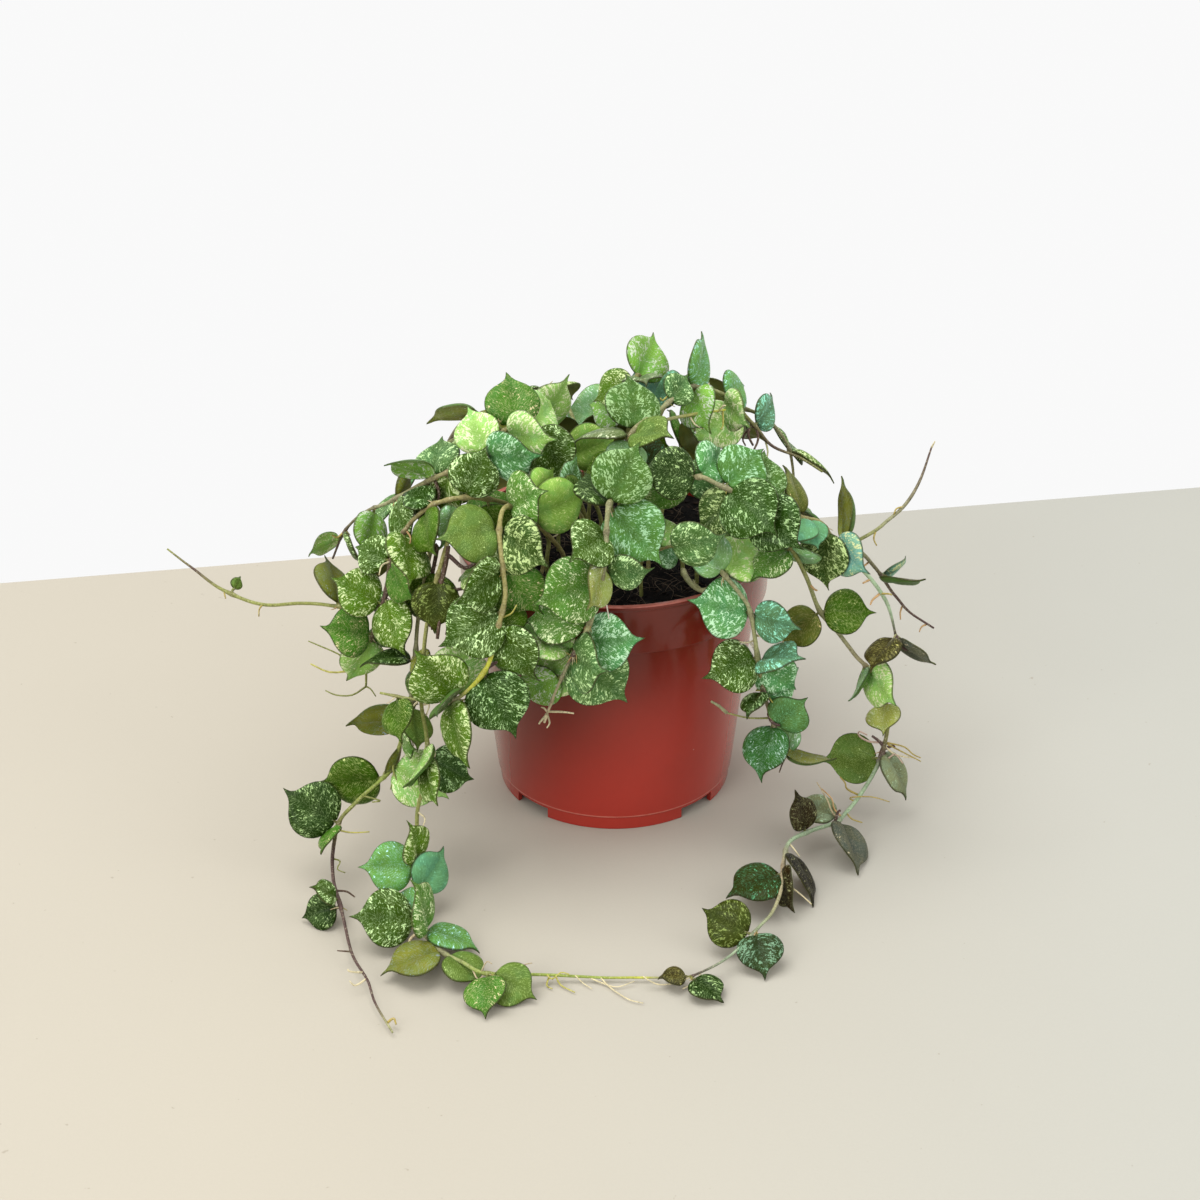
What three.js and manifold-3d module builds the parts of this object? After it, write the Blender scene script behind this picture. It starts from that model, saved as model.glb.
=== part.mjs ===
// A climbing hoya in a round nursery pot. Thin stems rise from the soil, arch over the rim, hang round
// the pot and run on along the surface it stands on, with spade-shaped leaves in pairs at their joints.
// Millimetres, +Z up. The plant is laid out round the pot's axis, then set over the middle of its footprint.
import * as THREE from 'three';
import { mergeVertices } from 'three/addons/utils/BufferGeometryUtils.js';
import Module from 'manifold-3d';

const wasm = await Module();
wasm.setup();

const POT_HEIGHT = 107;
const POT_WALL = 1.6;
const POT_SIDES = 32;
const BASE_RADIUS = 46.8;
const FOOT_HEIGHT = 5.4;
const FOOT_WIDTH = 2;
const BODY_FOOT_RADIUS = 47.8;
const BODY_EDGE = 0.6;
const BODY_TOP_RADIUS = 56.4;
const BAND_HEIGHT = 20.7;
const BAND_RADIUS = 59.9;
const RIM_RADIUS = 61;
const LIP_HEIGHT = 1.6;
const LIP_STAND = 0.6;
const FLOOR_UNDERSIDE = 4.8;
const FOOT_GAP_WIDTH = 17;
const FOOT_GAP_HEIGHT = 4.4;
const FOOT_GAP_DEPTH = 12;
const DRAIN_RADIUS = 3.6;
const DRAIN_RING = 35;
const DRAIN_SIDES = 8;
const BAND_SLOPE = 2;
const POT_COLOR = 0x96301f;

const SOIL_TOP = 99.5;
const SOIL_RELIEF = 1.1;
const SOIL_SIDES = 20;
const SOIL_RINGS = 3;
const SOIL_SPREAD = 0.5;
const SOIL_COLOR = 0x2a211a;
const HOLE_SIDES = 6;
const CLEARANCE = 0.3;
const STEP_CLEARANCE = 0.4;
const FACET_CLEARANCE = 0.2;

const STEM_SIDES = 4;
const ROOT_DEPTHS = [80, 92, 104];

const rad = THREE.MathUtils.degToRad;
const mix = THREE.MathUtils.lerp;

const BLADE = 0.9;
const STALK = 2.4;
const FOLDS = [0.06, 0.26];
const CURLS = [0.03, 0.13];
const EYE_HEIGHT = rad(28);
const LEAF_COLOR = 0x5c8a45;

// Half widths of the blade at heights along it, both as fractions of its length.
const OUTLINE = [
  [0, 0.2], [0.1, 0.38], [0.24, 0.48], [0.38, 0.5], [0.52, 0.46], [0.64, 0.37], [0.72, 0.27], [0.82, 0.1],
  [1, 0],
];

// Each strand has its stops in millimetres, and its leaves as [stop, clock, lean, turn, length]: the stop
// they grow at, the way the tip points as seen from the front, like a hand on a dial from 0 at the right
// round by the top, how far it leans to the eye, and how far the blade is turned from facing the eye.
const STRANDS = [
  {
    node: 'vine_front_left', radius: 1.3,
    stops: [[-20, -30, 114], [-32, -48, 138], [-39, -56, 145], [-41, -62, 139], [-40, -68, 128],
      [-39, -72, 118], [-41, -75, 109], [-43, -77, 102], [-46, -79, 92], [-54, -80, 82], [-60, -80, 79],
      [-70, -80, 79], [-85, -78, 81]],
    leaves: [[3, 189, 29, 12, 24.5], [3, -39, 30, 25, 24.5], [1.8, 27, 59, -12, 24.5],
      [4.1, 224, 35, -48, 24.5], [4, -56, -8, 28, 23.5], [4, 192, -35, 52, 23.5], [5.6, 211, 6, 0, 26.5],
      [6.2, -62, -1, 38, 25], [8.2, -62, 0, 5, 27], [9.6, 130, 34, -12, 25.5], [9.6, 213, 63, 101, 19],
      [9.9, 281, 18, 60, 26.5], [11.6, 272, 27, 41, 18.5], [9.7, 81, -10, 10, 24],
      [6.8, 72, -26, -3, 20]],
  },
  {
    node: 'vine_front_centre', radius: 1.3,
    stops: [[2, -24, 114], [-1, -50, 140], [-2, -66, 151], [-3, -70, 139], [-4, -72, 128], [-8, -73, 110],
      [-12, -73, 99], [-15, -73, 94], [-20, -72, 82], [-25, -70, 67]],
    leaves: [[2, 65, 0, 0, 25], [2.1, 118, -35, 30, 21], [2.8, 217, 45, 0, 22], [1.6, -48, 8, 10, 28],
      [4.2, 202, 23, -7, 27], [3.8, -106, 35, -60, 21], [4, -6, 15, 40, 18], [5.2, 177, -10, 40, 26],
      [5.6, 157, -17, 45, 20], [6.8, 155, -4, 42, 25], [6.1, 4, 24, 0, 24], [7.8, 203, -15, -24, 20],
      [7, -33, 62, 30, 25], [7, -42, -12, 14, 28], [8.6, 88, 9, -5, 25.5]],
  },
  {
    node: 'vine_right_reach', radius: 1.2,
    stops: [[13, -18, 114], [20, -40, 146], [30, -54, 156], [38, -53, 152], [50, -51, 145], [60, -47, 140],
      [69, -42, 134], [76, -38, 130], [81, -36, 123], [89, -34, 118], [96, -32, 111], [101, -30, 103],
      [107, -28, 94], [113, -26, 86], [123, -24, 78]],
    leaves: [[2, 172, 16, 10, 22], [2, 50, -35, 22, 19.5], [1.5, 216, -21, -52, 20],
      [3.1, 46, -17, 1, 22.5], [3.2, -44, 25, 8, 26], [4.1, 79, -24, 3, 23], [4.2, -54, 30, 23, 25],
      [3.7, 215, -1, 10, 21.5], [5.9, 101, -11, 63, 20.5], [6.1, -68, 36, -12, 15],
      [5.9, 234, 53, 25, 21.5], [8.5, 86, 0, 98, 24.5], [8.1, -55, 35, 47, 20.5],
      [7.4, 146, -49, 96, 16.5], [7.4, -92, -8, 32, 23.5], [10.9, 24, -31, 74, 15.5],
      [10.9, -12, 40, 93, 19.5], [1.4, 10, -10, -10, 18]],
  },
  {
    node: 'vine_right_reach', radius: 1, branch: true,
    stops: [[88, -34, 119], [98, -28, 122], [102, -25, 124], [109, -20, 128], [115, -14, 135],
      [120, -6, 146]],
    leaves: [],
  },
  {
    node: 'vine_right_reach', radius: 1.1, branch: true,
    stops: [[81, -36, 123], [86, -42, 118], [92, -43, 113], [99, -43, 104], [103, -43, 96], [106, -43, 85]],
    leaves: [[5, -42, 2, 79, 18.5], [5, 224, 29, 62, 19]],
  },
  {
    node: 'vine_right_front', radius: 1.2,
    stops: [[31, -32, 114], [35, -44, 118], [40, -55, 117], [46, -57, 110], [50, -57, 102], [53, -57, 84],
      [55, -57, 72], [58, -58, 61], [61, -59, 53], [64, -60, 45], [70, -60, 40]],
    leaves: [[2, 49, -30, 0, 24], [2, 126, 15, 24, 20.5], [4, 167, 24, 12, 25.5], [4, -18, 22, 34, 20],
      [5.2, 16, 49, -65, 22], [5, 202, 24, 0, 23], [6.2, 24, -39, 22, 23], [6.2, 230, 40, 60, 15],
      [7.8, 46, 39, 8, 19.5], [7.6, 250, 18, 39, 23], [8.9, -20, 20, 103, 21], [5.2, -37, -17, 20, 20],
      [9.6, 120, -15, 12, 17]],
  },
  {
    node: 'vine_top_right', radius: 1.2,
    stops: [[6, -2, 114], [4, -16, 140], [6, -28, 161], [18, -14, 166], [26, 0, 167], [32, 8, 165],
      [41, 15, 159], [49, 20, 150], [56, 22, 141], [62, 22, 134], [73, 22, 129], [82, 22, 123]],
    leaves: [[2.1, 92, -16, 20, 24.5], [2, 3, 48, -48, 20.5], [1.9, -103, 40, 0, 18],
      [2.2, 47, -72, 0, 16], [2, 178, 0, 80, 22], [3.2, 54, -22, 18, 16], [4, 173, -45, 12, 18],
      [4.4, 69, -19, 65, 24.5], [4.7, -78, 35, 42, 21.5], [6.1, 32, -49, 12, 19], [6.1, -59, 40, 57, 20],
      [7, 211, 12, 15, 23.5], [7.8, 53, -30, 48, 18.5], [1.2, 10, -20, 10, 22], [1.1, 190, -20, 10, 20]],
  },
  {
    node: 'vine_top_right', radius: 1, branch: true,
    stops: [[7, -26, 161], [11, -20, 160], [19, -10, 159], [31, -4, 159], [42, 2, 158]],
    leaves: [],
  },
  {
    node: 'vine_top_back', radius: 1.2,
    stops: [[2, 12, 114], [5, 14, 140], [8, 8, 168], [11, 20, 162], [12, 36, 152], [8, 56, 138],
      [2, 72, 122], [-2, 79, 100], [-3, 80, 80], [-3, 80, 62]],
    leaves: [[2.2, 203, -17, 20, 20], [2.2, 68, -25, 30, 23], [2.2, -17, 78, -65, 17.6],
      [1.5, 168, -28, 10, 21], [1.6, 40, -29, 20, 21.5], [5.6, 177, 11, -2, 27], [1, -10, -10, 10, 18.5],
      [7.6, 260, 0, 10, 23.5]],
  },
  {
    node: 'vine_left_arch', radius: 1.2,
    stops: [[-10, -8, 114], [-18, -16, 140], [-30, -26, 163], [-40, -34, 165], [-47, -40, 158],
      [-57, -40, 153], [-66, -38, 148], [-74, -34, 142], [-85, -28, 133], [-93, -24, 128], [-102, -20, 118],
      [-108, -16, 104]],
    leaves: [[2.6, 98, -10, 10, 23], [2.1, 55, -47, 30, 22], [3.1, 104, -49, 35, 18],
      [3, -15, 35, 30, 22], [4, 109, -7, -12, 20], [4, -5, 34, 35, 23.5], [2, -56, 3, 28, 25],
      [6, 85, -35, -26, 21], [6, 157, 29, 115, 20.5], [7.7, 57, -49, 63, 18], [5.4, -101, -29, 36, 19.5],
      [7.6, -76, 35, 53, 22], [8.6, -97, 17, -48, 19.5], [6.3, -96, -18, 53, 21],
      [10.2, 205, 17, 118, 15.5], [10, -67, 26, 84, 16]],
  },
  {
    node: 'vine_left_cluster', radius: 1.2,
    stops: [[-26, -16, 114], [-38, -32, 134], [-52, -48, 145], [-64, -50, 144], [-71, -50, 139],
      [-76, -50, 133], [-82, -50, 120], [-85, -50, 105], [-90, -50, 91], [-93, -50, 78], [-94, -50, 67]],
    leaves: [[6, 157, -26, 0, 18], [5.1, -77, 37, -55, 24.5], [6, -64, 35, 55, 21],
      [7, -74, 16, 38, 23.5], [7.2, 150, 20, 25, 22], [8.1, 172, 39, 10, 22], [8.2, -118, -16, -42, 21],
      [3.6, -84, 39, 53, 21.5], [3.1, 158, -26, 38, 16], [2.6, -97, 1, -60, 18.5],
      [6.8, 194, -82, 45, 19.5], [7.8, -51, -40, 43, 18], [2.2, 66, 18, 8, 21.5],
      [1.6, -80, -34, -10, 20]],
  },
  {
    node: 'vine_left_cluster', radius: 1, branch: true,
    stops: [[-85, -50, 105], [-95, -44, 99], [-104, -38, 95], [-120, -28, 91], [-136, -20, 86],
      [-152, -12, 88], [-164, -6, 94], [-175, 0, 100]],
    leaves: [[2, 104, -29, 60, 23.5], [4.8, 64, -18, 44, 8]],
  },
  {
    node: 'vine_top_left', radius: 1.2,
    stops: [[-6, 3, 114], [-16, -2, 138], [-30, -4, 152], [-42, -2, 157], [-50, 1, 157], [-58, 10, 150],
      [-65, 22, 136], [-71, 34, 118], [-75, 42, 98], [-77, 46, 80], [-78, 48, 60]],
    leaves: [[2.1, 52, 8, 54, 25], [4, 182, -18, 101, 23], [2.2, -58, -44, 50, 21],
      [2, 150, -20, 30, 20], [1.2, 20, 0, 20, 22], [7.7, 44, -6, 12, 25.5]],
  },
  {
    node: 'vine_mid_left', radius: 1.1,
    stops: [[-9, -18, 114], [-14, -40, 136], [-22, -56, 146], [-30, -62, 145]],
    leaves: [[3, 19, -13, 25, 24], [2.9, 66, -30, 50, 22.5], [1.7, 71, -15, 60, 21],
      [2, 33, -35, 40, 18], [1, 163, -10, 20, 20]],
  },
  {
    node: 'vine_mid_right', radius: 1.1,
    stops: [[10, -38, 114], [14, -54, 126], [19, -64, 133]],
    leaves: [[2, 6, 20, 35, 22], [1.5, 103, -43, 20, 22], [1.2, 160, -20, 40, 18],
      [0.8, 30, -47, 20, 20]],
  },
  {
    node: 'vine_left_trail', radius: 1.1,
    stops: [[-32, -26, 114], [-48, -38, 130], [-64, -44, 134], [-68, -50, 121], [-72, -56, 103],
      [-74, -60, 84], [-76, -63, 67], [-79, -65, 56], [-84, -68, 42], [-88, -70, 38], [-97, -74, 31],
      [-104, -77, 23], [-106, -82, 14], [-105, -93, 9], [-100, -111, 8], [-94, -133, 5],
      [-87, -148, 5], [-83, -160, 4], [-76, -173, 2]],
    leaves: [[6.6, 175, 15, 128, 23], [6, -75, 25, -55, 19], [5.7, -114, -73, 62, 22],
      [7.1, -42, 63, 50, 15], [4.8, -61, 41, 30, 14], [8.8, 189, -3, -33, 25.5], [8.8, 60, -18, 84, 17],
      [11, 147, 15, 10, 24.5], [11, 235, 44, 72, 15], [13.9, 195, -7, 10, 16.2], [13.7, 138, 38, 65, 14],
      [3.2, -84, -9, 22, 25], [5, 178, -2, 74, 20.5], [7.9, 331, -1, -15, 25], [0.6, 115, -25, 30, 24]],
  },
  {
    node: 'vine_front_trail', radius: 1.1,
    stops: [[-28, -34, 114], [-44, -50, 132], [-57, -58, 137], [-63, -64, 124], [-67, -68, 110],
      [-70, -71, 90], [-71, -74, 75], [-69, -78, 58], [-70, -82, 46], [-73, -87, 35], [-73, -94, 23],
      [-73, -104, 14], [-72, -118, 9], [-64, -133, 8], [-54, -142, 8], [-46, -148, 8], [-34, -145, 5],
      [-19, -143, 3], [-5, -143, 2], [9, -143, 2], [16, -143, 2]],
    leaves: [[7.4, -79, 40, 60, 21], [7.4, -26, -21, -28, 21], [7, 252, 44, -105, 22],
      [10.4, 92, 30, 60, 19], [10.5, 177, 15, 12, 21.5], [11.2, 54, -19, 33, 20],
      [12, 174, 18, 25, 24.5], [12, 150, -47, 20, 20.5], [12.4, -13, 5, -72, 21.5],
      [13.3, 192, 14, 64, 23.5], [13.4, -33, 28, -55, 19], [15.1, 268, 48, 22, 18.5],
      [15.2, -24, 21, -21, 19], [3.2, -94, 1, 0, 20.5], [12.5, 93, 31, 77, 24.5]],
  },
  {
    node: 'vine_right_ring', radius: 1.2,
    stops: [[26, -22, 114], [45, -38, 128], [60, -50, 132], [65, -48, 124], [71, -45, 111], [77, -42, 95],
      [85, -40, 84], [92, -37, 73], [98, -34, 65], [103, -32, 56], [107, -30, 38], [104, -35, 24],
      [97, -43, 15], [90, -53, 12], [85, -60, 12], [76, -65, 12], [66, -75, 13], [63, -90, 13],
      [61, -105, 12], [57, -117, 11], [52, -124, 10], [45, -133, 8], [37, -140, 6], [27, -145, 4]],
    leaves: [[2.6, -40, -35, 64, 19], [5, 0, 10, -24, 21], [5, 219, -6, 32, 20],
      [7.8, -59, 45, 52, 22.5], [7.7, 250, 30, -92, 17.5], [9.4, -95, 45, 24, 16.5],
      [10.9, 182, -18, 162, 24], [10.7, -56, 0, -59, 22], [13.7, 152, -12, 50, 19],
      [15.3, 100, 15, 42, 17.5], [13.8, -64, 37, -64, 24.5], [16.4, -56, 28, -82, 23.5],
      [17.3, 196, 19, 54, 23.5], [17, -87, 39, 72, 20], [20.4, 154, -9, 12, 20.5],
      [20.2, -78, 43, -4, 19.5], [23, -31, 38, -50, 16], [23, 175, 10, 60, 12], [2.9, 214, 13, 44, 19]],
  },
];

// A repeatable stream of numbers between 0 and 1.
function numbersFrom(seed) {
  let state = seed;
  return () => {
    state = (state * 1664525 + 1013904223) % 4294967296;
    return state / 4294967296;
  };
}

// Stems at the back, hidden in the photo: each rises, arches over the rim along its bearing in degrees and
// hangs down to its last height, with pairs of leaves all along it that droop more once it hangs.
const BACK_VINES = [[30, 92], [60, 48], [118, 42], [178, 62]];
const BACK_RISE = [[22, 114], [30, 136], [46, 149], [66, 143], [80, 127]];
const BACK_RADIUS = 1.1;
const BACK_SEED = 100;
const HANG_TOP = 112;
const HANG_STEP = 17;
const HANG_OUT = 85;
const SWAY = 5;
const PAIR_STEP = 1.6;
const BEND_STOP = 2.5;
const RISE_CLOCK = 25;
const HANG_CLOCK = -30;
const BACK_LEAN = 15;
const BACK_LENGTH = 23;
const ANGLE_SPREAD = 15;
const TURN_SPREAD = 20;
const LENGTH_SPREAD = 2;

function backVine([bearing, end], index) {
  const random = numbersFrom(BACK_SEED + index);
  const either = (most) => most * (2 * random() - 1);
  const ahead = rad(bearing);
  const at = (out, side, z) => [
    out * Math.cos(ahead) - side * Math.sin(ahead),
    out * Math.sin(ahead) + side * Math.cos(ahead),
    z,
  ];
  const stops = BACK_RISE.map(([out, z]) => at(out, 0, z));
  for (let z = HANG_TOP; z > end; z -= HANG_STEP) {
    stops.push(at(HANG_OUT + either(SWAY), either(SWAY), z));
  }
  const leaves = [];
  for (let stop = 1; stop < stops.length - 1; stop += PAIR_STEP) {
    const droop = stop < BEND_STOP ? RISE_CLOCK : HANG_CLOCK;
    for (const side of [droop, 180 - droop]) {
      const clock = side + either(ANGLE_SPREAD);
      const lean = BACK_LEAN + either(ANGLE_SPREAD);
      leaves.push([stop, clock, lean, either(TURN_SPREAD), BACK_LENGTH + either(LENGTH_SPREAD)]);
    }
  }
  return { node: `vine_back_${index + 1}`, radius: BACK_RADIUS, bearing: ahead, stops, leaves };
}

const WELD = 1e-4;

function toSolid(geometry) {
  geometry.deleteAttribute('normal');
  geometry.deleteAttribute('uv');
  const merged = mergeVertices(geometry, WELD);
  return new wasm.Manifold(new wasm.Mesh({
    numProp: 3,
    vertProperties: new Float32Array(merged.attributes.position.array),
    triVerts: new Uint32Array(merged.index.array),
  }));
}

function toGeometry(solid) {
  const mesh = solid.getMesh();
  const geometry = new THREE.BufferGeometry();
  geometry.setAttribute('position', new THREE.BufferAttribute(mesh.vertProperties, 3));
  geometry.setIndex(new THREE.BufferAttribute(mesh.triVerts, 1));
  geometry.computeVertexNormals();
  return geometry;
}

function lathe(profile, sides) {
  const geometry = new THREE.LatheGeometry(profile.map(([r, z]) => new THREE.Vector2(r, z)), sides);
  geometry.rotateX(Math.PI / 2);
  return geometry;
}

const BAND_FOOT = POT_HEIGHT - BAND_HEIGHT;
const BASE_TOP = FLOOR_UNDERSIDE + POT_WALL;

function pot() {
  const rimInside = RIM_RADIUS - POT_WALL;
  const shell = toSolid(lathe([
    [0, FLOOR_UNDERSIDE], [BASE_RADIUS - FOOT_WIDTH, FLOOR_UNDERSIDE], [BASE_RADIUS - FOOT_WIDTH, 0],
    [BASE_RADIUS, 0], [BASE_RADIUS, FOOT_HEIGHT], [BODY_FOOT_RADIUS, FOOT_HEIGHT + BODY_EDGE],
    [BODY_TOP_RADIUS, BAND_FOOT], [BAND_RADIUS, BAND_FOOT],
    [RIM_RADIUS, POT_HEIGHT - LIP_HEIGHT - LIP_STAND], [RIM_RADIUS + LIP_STAND, POT_HEIGHT - LIP_HEIGHT],
    [RIM_RADIUS + LIP_STAND, POT_HEIGHT], [rimInside, POT_HEIGHT],
    [BAND_RADIUS - POT_WALL, BAND_FOOT + BAND_SLOPE], [BODY_TOP_RADIUS - POT_WALL, BAND_FOOT],
    [BASE_RADIUS - POT_WALL, BASE_TOP], [0, BASE_TOP],
  ], POT_SIDES));
  const cuts = [];
  for (let quarter = 0; quarter < 4; quarter += 1) {
    const corner = rad(45 + 90 * quarter);
    const gap = new THREE.BoxGeometry(FOOT_GAP_DEPTH, FOOT_GAP_WIDTH, FOOT_GAP_HEIGHT * 2);
    gap.translate(BASE_RADIUS, 0, 0);
    gap.rotateZ(corner);
    cuts.push(toSolid(gap));
    for (const bearing of [corner, corner + rad(45)]) {
      const drain = new THREE.CylinderGeometry(DRAIN_RADIUS, DRAIN_RADIUS, POT_WALL * 4, DRAIN_SIDES);
      drain.rotateX(Math.PI / 2);
      drain.translate(DRAIN_RING * Math.cos(bearing), DRAIN_RING * Math.sin(bearing), FLOOR_UNDERSIDE);
      cuts.push(toSolid(drain));
    }
  }
  return shell.subtract(wasm.Manifold.union(cuts));
}

// The height of the soil's uneven top at a point of it.
function soilHeight(x, y) {
  const wave = Math.sin(x * 0.21 + 1.3) * Math.cos(y * 0.19) + 0.7 * Math.sin((x + y) * 0.34);
  return SOIL_TOP + SOIL_RELIEF * wave;
}

// The soil fills the pot up to its uneven top, and has a plain hole for each stem.
function soil(strands) {
  const wall = POT_WALL + CLEARANCE;
  const edge = BAND_RADIUS - wall + SOIL_SPREAD;
  const profile = [
    [0, BASE_TOP + CLEARANCE],
    [BASE_RADIUS - wall, BASE_TOP + CLEARANCE],
    [BODY_TOP_RADIUS - wall, BAND_FOOT + STEP_CLEARANCE],
    [BAND_RADIUS - wall - FACET_CLEARANCE, BAND_FOOT + BAND_SLOPE + STEP_CLEARANCE],
    [edge, SOIL_TOP],
  ];
  for (let ring = SOIL_RINGS - 1; ring >= 0; ring -= 1) {
    profile.push([edge * ring / SOIL_RINGS, SOIL_TOP]);
  }
  const geometry = lathe(profile, SOIL_SIDES);
  const place = geometry.attributes.position;
  for (let i = 0; i < place.count; i += 1) {
    const x = place.getX(i);
    const y = place.getY(i);
    if (place.getZ(i) > SOIL_TOP - CLEARANCE && Math.hypot(x, y) < edge - 1) {
      place.setZ(i, soilHeight(x, y));
    }
  }
  const holes = strands.filter((strand) => !strand.branch).map((strand) => {
    const [x, y] = strand.stops[0];
    const radius = (strand.radius + CLEARANCE) / Math.cos(Math.PI / HOLE_SIDES);
    const depth = 2 * SOIL_TOP - 2 * (ROOT_DEPTHS[0] - CLEARANCE);
    const hole = new THREE.CylinderGeometry(radius, radius, depth, HOLE_SIDES);
    hole.rotateX(Math.PI / 2);
    hole.translate(x, y, ROOT_DEPTHS[0] - CLEARANCE + depth / 2);
    return toSolid(hole);
  });
  return toSolid(geometry).subtract(wasm.Manifold.union(holes));
}

// The points a stem is built through: its stops, and before them the ones it has in the soil.
function spineOf(strand) {
  const points = strand.stops.map((stop) => new THREE.Vector3(...stop));
  if (!strand.branch) {
    const [x, y] = strand.stops[0];
    points.unshift(...ROOT_DEPTHS.map((z) => new THREE.Vector3(x, y, z)));
  }
  return points;
}

// The point of the stem that lies at a place counted in points of its spine.
function spinePoint(spine, place) {
  const low = Math.min(Math.floor(place), spine.length - 2);
  return spine[low].clone().lerp(spine[low + 1], place - low);
}

// The blade's own directions: along it to the tip, out of its upper face, and across.
function bladeAxes(bearing, clock, lean, turn) {
  const eye = new THREE.Vector3(
    Math.cos(bearing) * Math.cos(EYE_HEIGHT),
    Math.sin(bearing) * Math.cos(EYE_HEIGHT),
    Math.sin(EYE_HEIGHT),
  );
  const right = new THREE.Vector3(-Math.sin(bearing), Math.cos(bearing), 0);
  const up = eye.clone().cross(right);
  const along = right.multiplyScalar(Math.cos(clock)).addScaledVector(up, Math.sin(clock));
  along.multiplyScalar(Math.cos(lean)).addScaledVector(eye, Math.sin(lean));
  const facing = eye.addScaledVector(along, -eye.dot(along)).normalize();
  const aside = along.clone().cross(facing);
  const out = facing.multiplyScalar(Math.cos(turn)).addScaledVector(aside, Math.sin(turn));
  return { along, out, across: along.clone().cross(out) };
}

function halfWidth(height) {
  for (let i = 1; i < OUTLINE.length; i += 1) {
    const [low, lowWidth] = OUTLINE[i - 1];
    const [high, highWidth] = OUTLINE[i];
    if (height <= high) {
      return mix(lowWidth, highWidth, (height - low) / (high - low));
    }
  }
  return 0;
}

// A point of the blade's middle sheet, side millimetres across and height of its length up from its foot.
function bladePoint(leaf, side, height, lift) {
  const droop = leaf.curl * leaf.length * Math.max(height, 0) ** 2;
  return leaf.foot.clone()
    .addScaledVector(leaf.axes.along, STALK + height * leaf.length)
    .addScaledVector(leaf.axes.across, side)
    .addScaledVector(leaf.axes.out, leaf.fold * Math.abs(side) - droop + lift);
}

const BLADE_BASE = 0.1;
const BLADE_MIDDLE = 0.36;
const BLADE_SHOULDER = 0.72;
const SUNK = 0.2;

function bladeSolid(leaf) {
  const places = [];
  const rows = [];
  const addRow = (height, sides) => {
    rows.push(sides.map((side) => places.push([side, height]) - 1));
  };
  const halfAt = (height) => halfWidth(height) * leaf.length;
  addRow(-(STALK + SUNK) / leaf.length, [0]);
  addRow(BLADE_BASE, [-halfAt(BLADE_BASE), halfAt(BLADE_BASE)]);
  addRow(BLADE_MIDDLE, [-halfAt(BLADE_MIDDLE), 0, halfAt(BLADE_MIDDLE)]);
  addRow(BLADE_SHOULDER, [-halfAt(BLADE_SHOULDER), halfAt(BLADE_SHOULDER)]);
  addRow(1, [0]);
  const faces = [];
  for (let i = 1; i < rows.length; i += 1) {
    const low = rows[i - 1];
    const high = rows[i];
    let left = 0;
    let right = 0;
    while (left < low.length - 1 || right < high.length - 1) {
      const lowShare = (left + 1) / low.length;
      const highShare = (right + 1) / high.length;
      const stepLow = right === high.length - 1 || (left < low.length - 1 && lowShare <= highShare);
      if (stepLow) {
        faces.push([low[left], low[left + 1], high[right]]);
        left += 1;
      } else {
        faces.push([low[left], high[right + 1], high[right]]);
        right += 1;
      }
    }
  }
  const count = places.length;
  const rightSide = rows.map((row) => row[row.length - 1]);
  const leftSide = rows.slice(1, -1).reverse().map((row) => row[0]);
  const edge = [...rightSide, ...leftSide];
  const corners = faces.flat();
  faces.forEach(([a, b, c]) => corners.push(a + count, c + count, b + count));
  edge.forEach((from, i) => {
    const to = edge[(i + 1) % edge.length];
    corners.push(from, from + count, to, to, from + count, to + count);
  });
  const points = [BLADE / 2, -BLADE / 2].flatMap((lift) => (
    places.flatMap(([side, height]) => bladePoint(leaf, side, height, lift).toArray())
  ));
  const geometry = new THREE.BufferGeometry();
  geometry.setAttribute('position', new THREE.Float32BufferAttribute(points, 3));
  geometry.setIndex(corners);
  return toSolid(geometry);
}

function stemSolid(strand, spine) {
  const points = [];
  const corners = [];
  const across = new THREE.Vector3(1, 0, 0);
  spine.forEach((centre, i) => {
    const before = spine[Math.max(i - 1, 0)];
    const after = spine[Math.min(i + 1, spine.length - 1)];
    const along = after.clone().sub(before).normalize();
    across.addScaledVector(along, -across.dot(along)).normalize();
    const aside = along.clone().cross(across);
    for (let k = 0; k < STEM_SIDES; k += 1) {
      const angle = (2 * Math.PI * k) / STEM_SIDES;
      const corner = centre.clone()
        .addScaledVector(across, strand.radius * Math.cos(angle))
        .addScaledVector(aside, strand.radius * Math.sin(angle));
      points.push(...corner.toArray());
      if (i > 0) {
        const here = i * STEM_SIDES + k;
        const next = i * STEM_SIDES + ((k + 1) % STEM_SIDES);
        corners.push(here - STEM_SIDES, next - STEM_SIDES, next, here - STEM_SIDES, next, here);
      }
    }
  });
  const top = (spine.length - 1) * STEM_SIDES;
  for (let k = 1; k < STEM_SIDES - 1; k += 1) {
    corners.push(0, k + 1, k, top, top + k, top + k + 1);
  }
  const geometry = new THREE.BufferGeometry();
  geometry.setAttribute('position', new THREE.Float32BufferAttribute(points, 3));
  geometry.setIndex(corners);
  return toSolid(geometry);
}

// Points kept of everything already grown, so that each new leaf can be turned clear of it.
const CELL = 3;
const CELLS = 400;
const LEAF_REACH = 1;
const OWN_REACH = 0.6;
const STEM_REACH = 1.4;
const STEM_SAMPLES = 10;
const SAMPLE = 0.08;
const FLOOR_REACH = 0.6;
const POT_REACH = 1.2;
const WALL_REACH = 1;
const BAND_REACH = 2;
const SOIL_REACH = 3;
const grown = new Map();

function cellKey(x, y, z) {
  const [column, row, layer] = [x, y, z].map((value) => Math.floor(value / CELL) + CELLS / 2);
  return (column * CELLS + row) * CELLS + layer;
}

function keep(point, isStem, owner) {
  const key = cellKey(point.x, point.y, point.z);
  if (!grown.has(key)) {
    grown.set(key, []);
  }
  grown.get(key).push({ point, isStem, owner });
}

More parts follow.
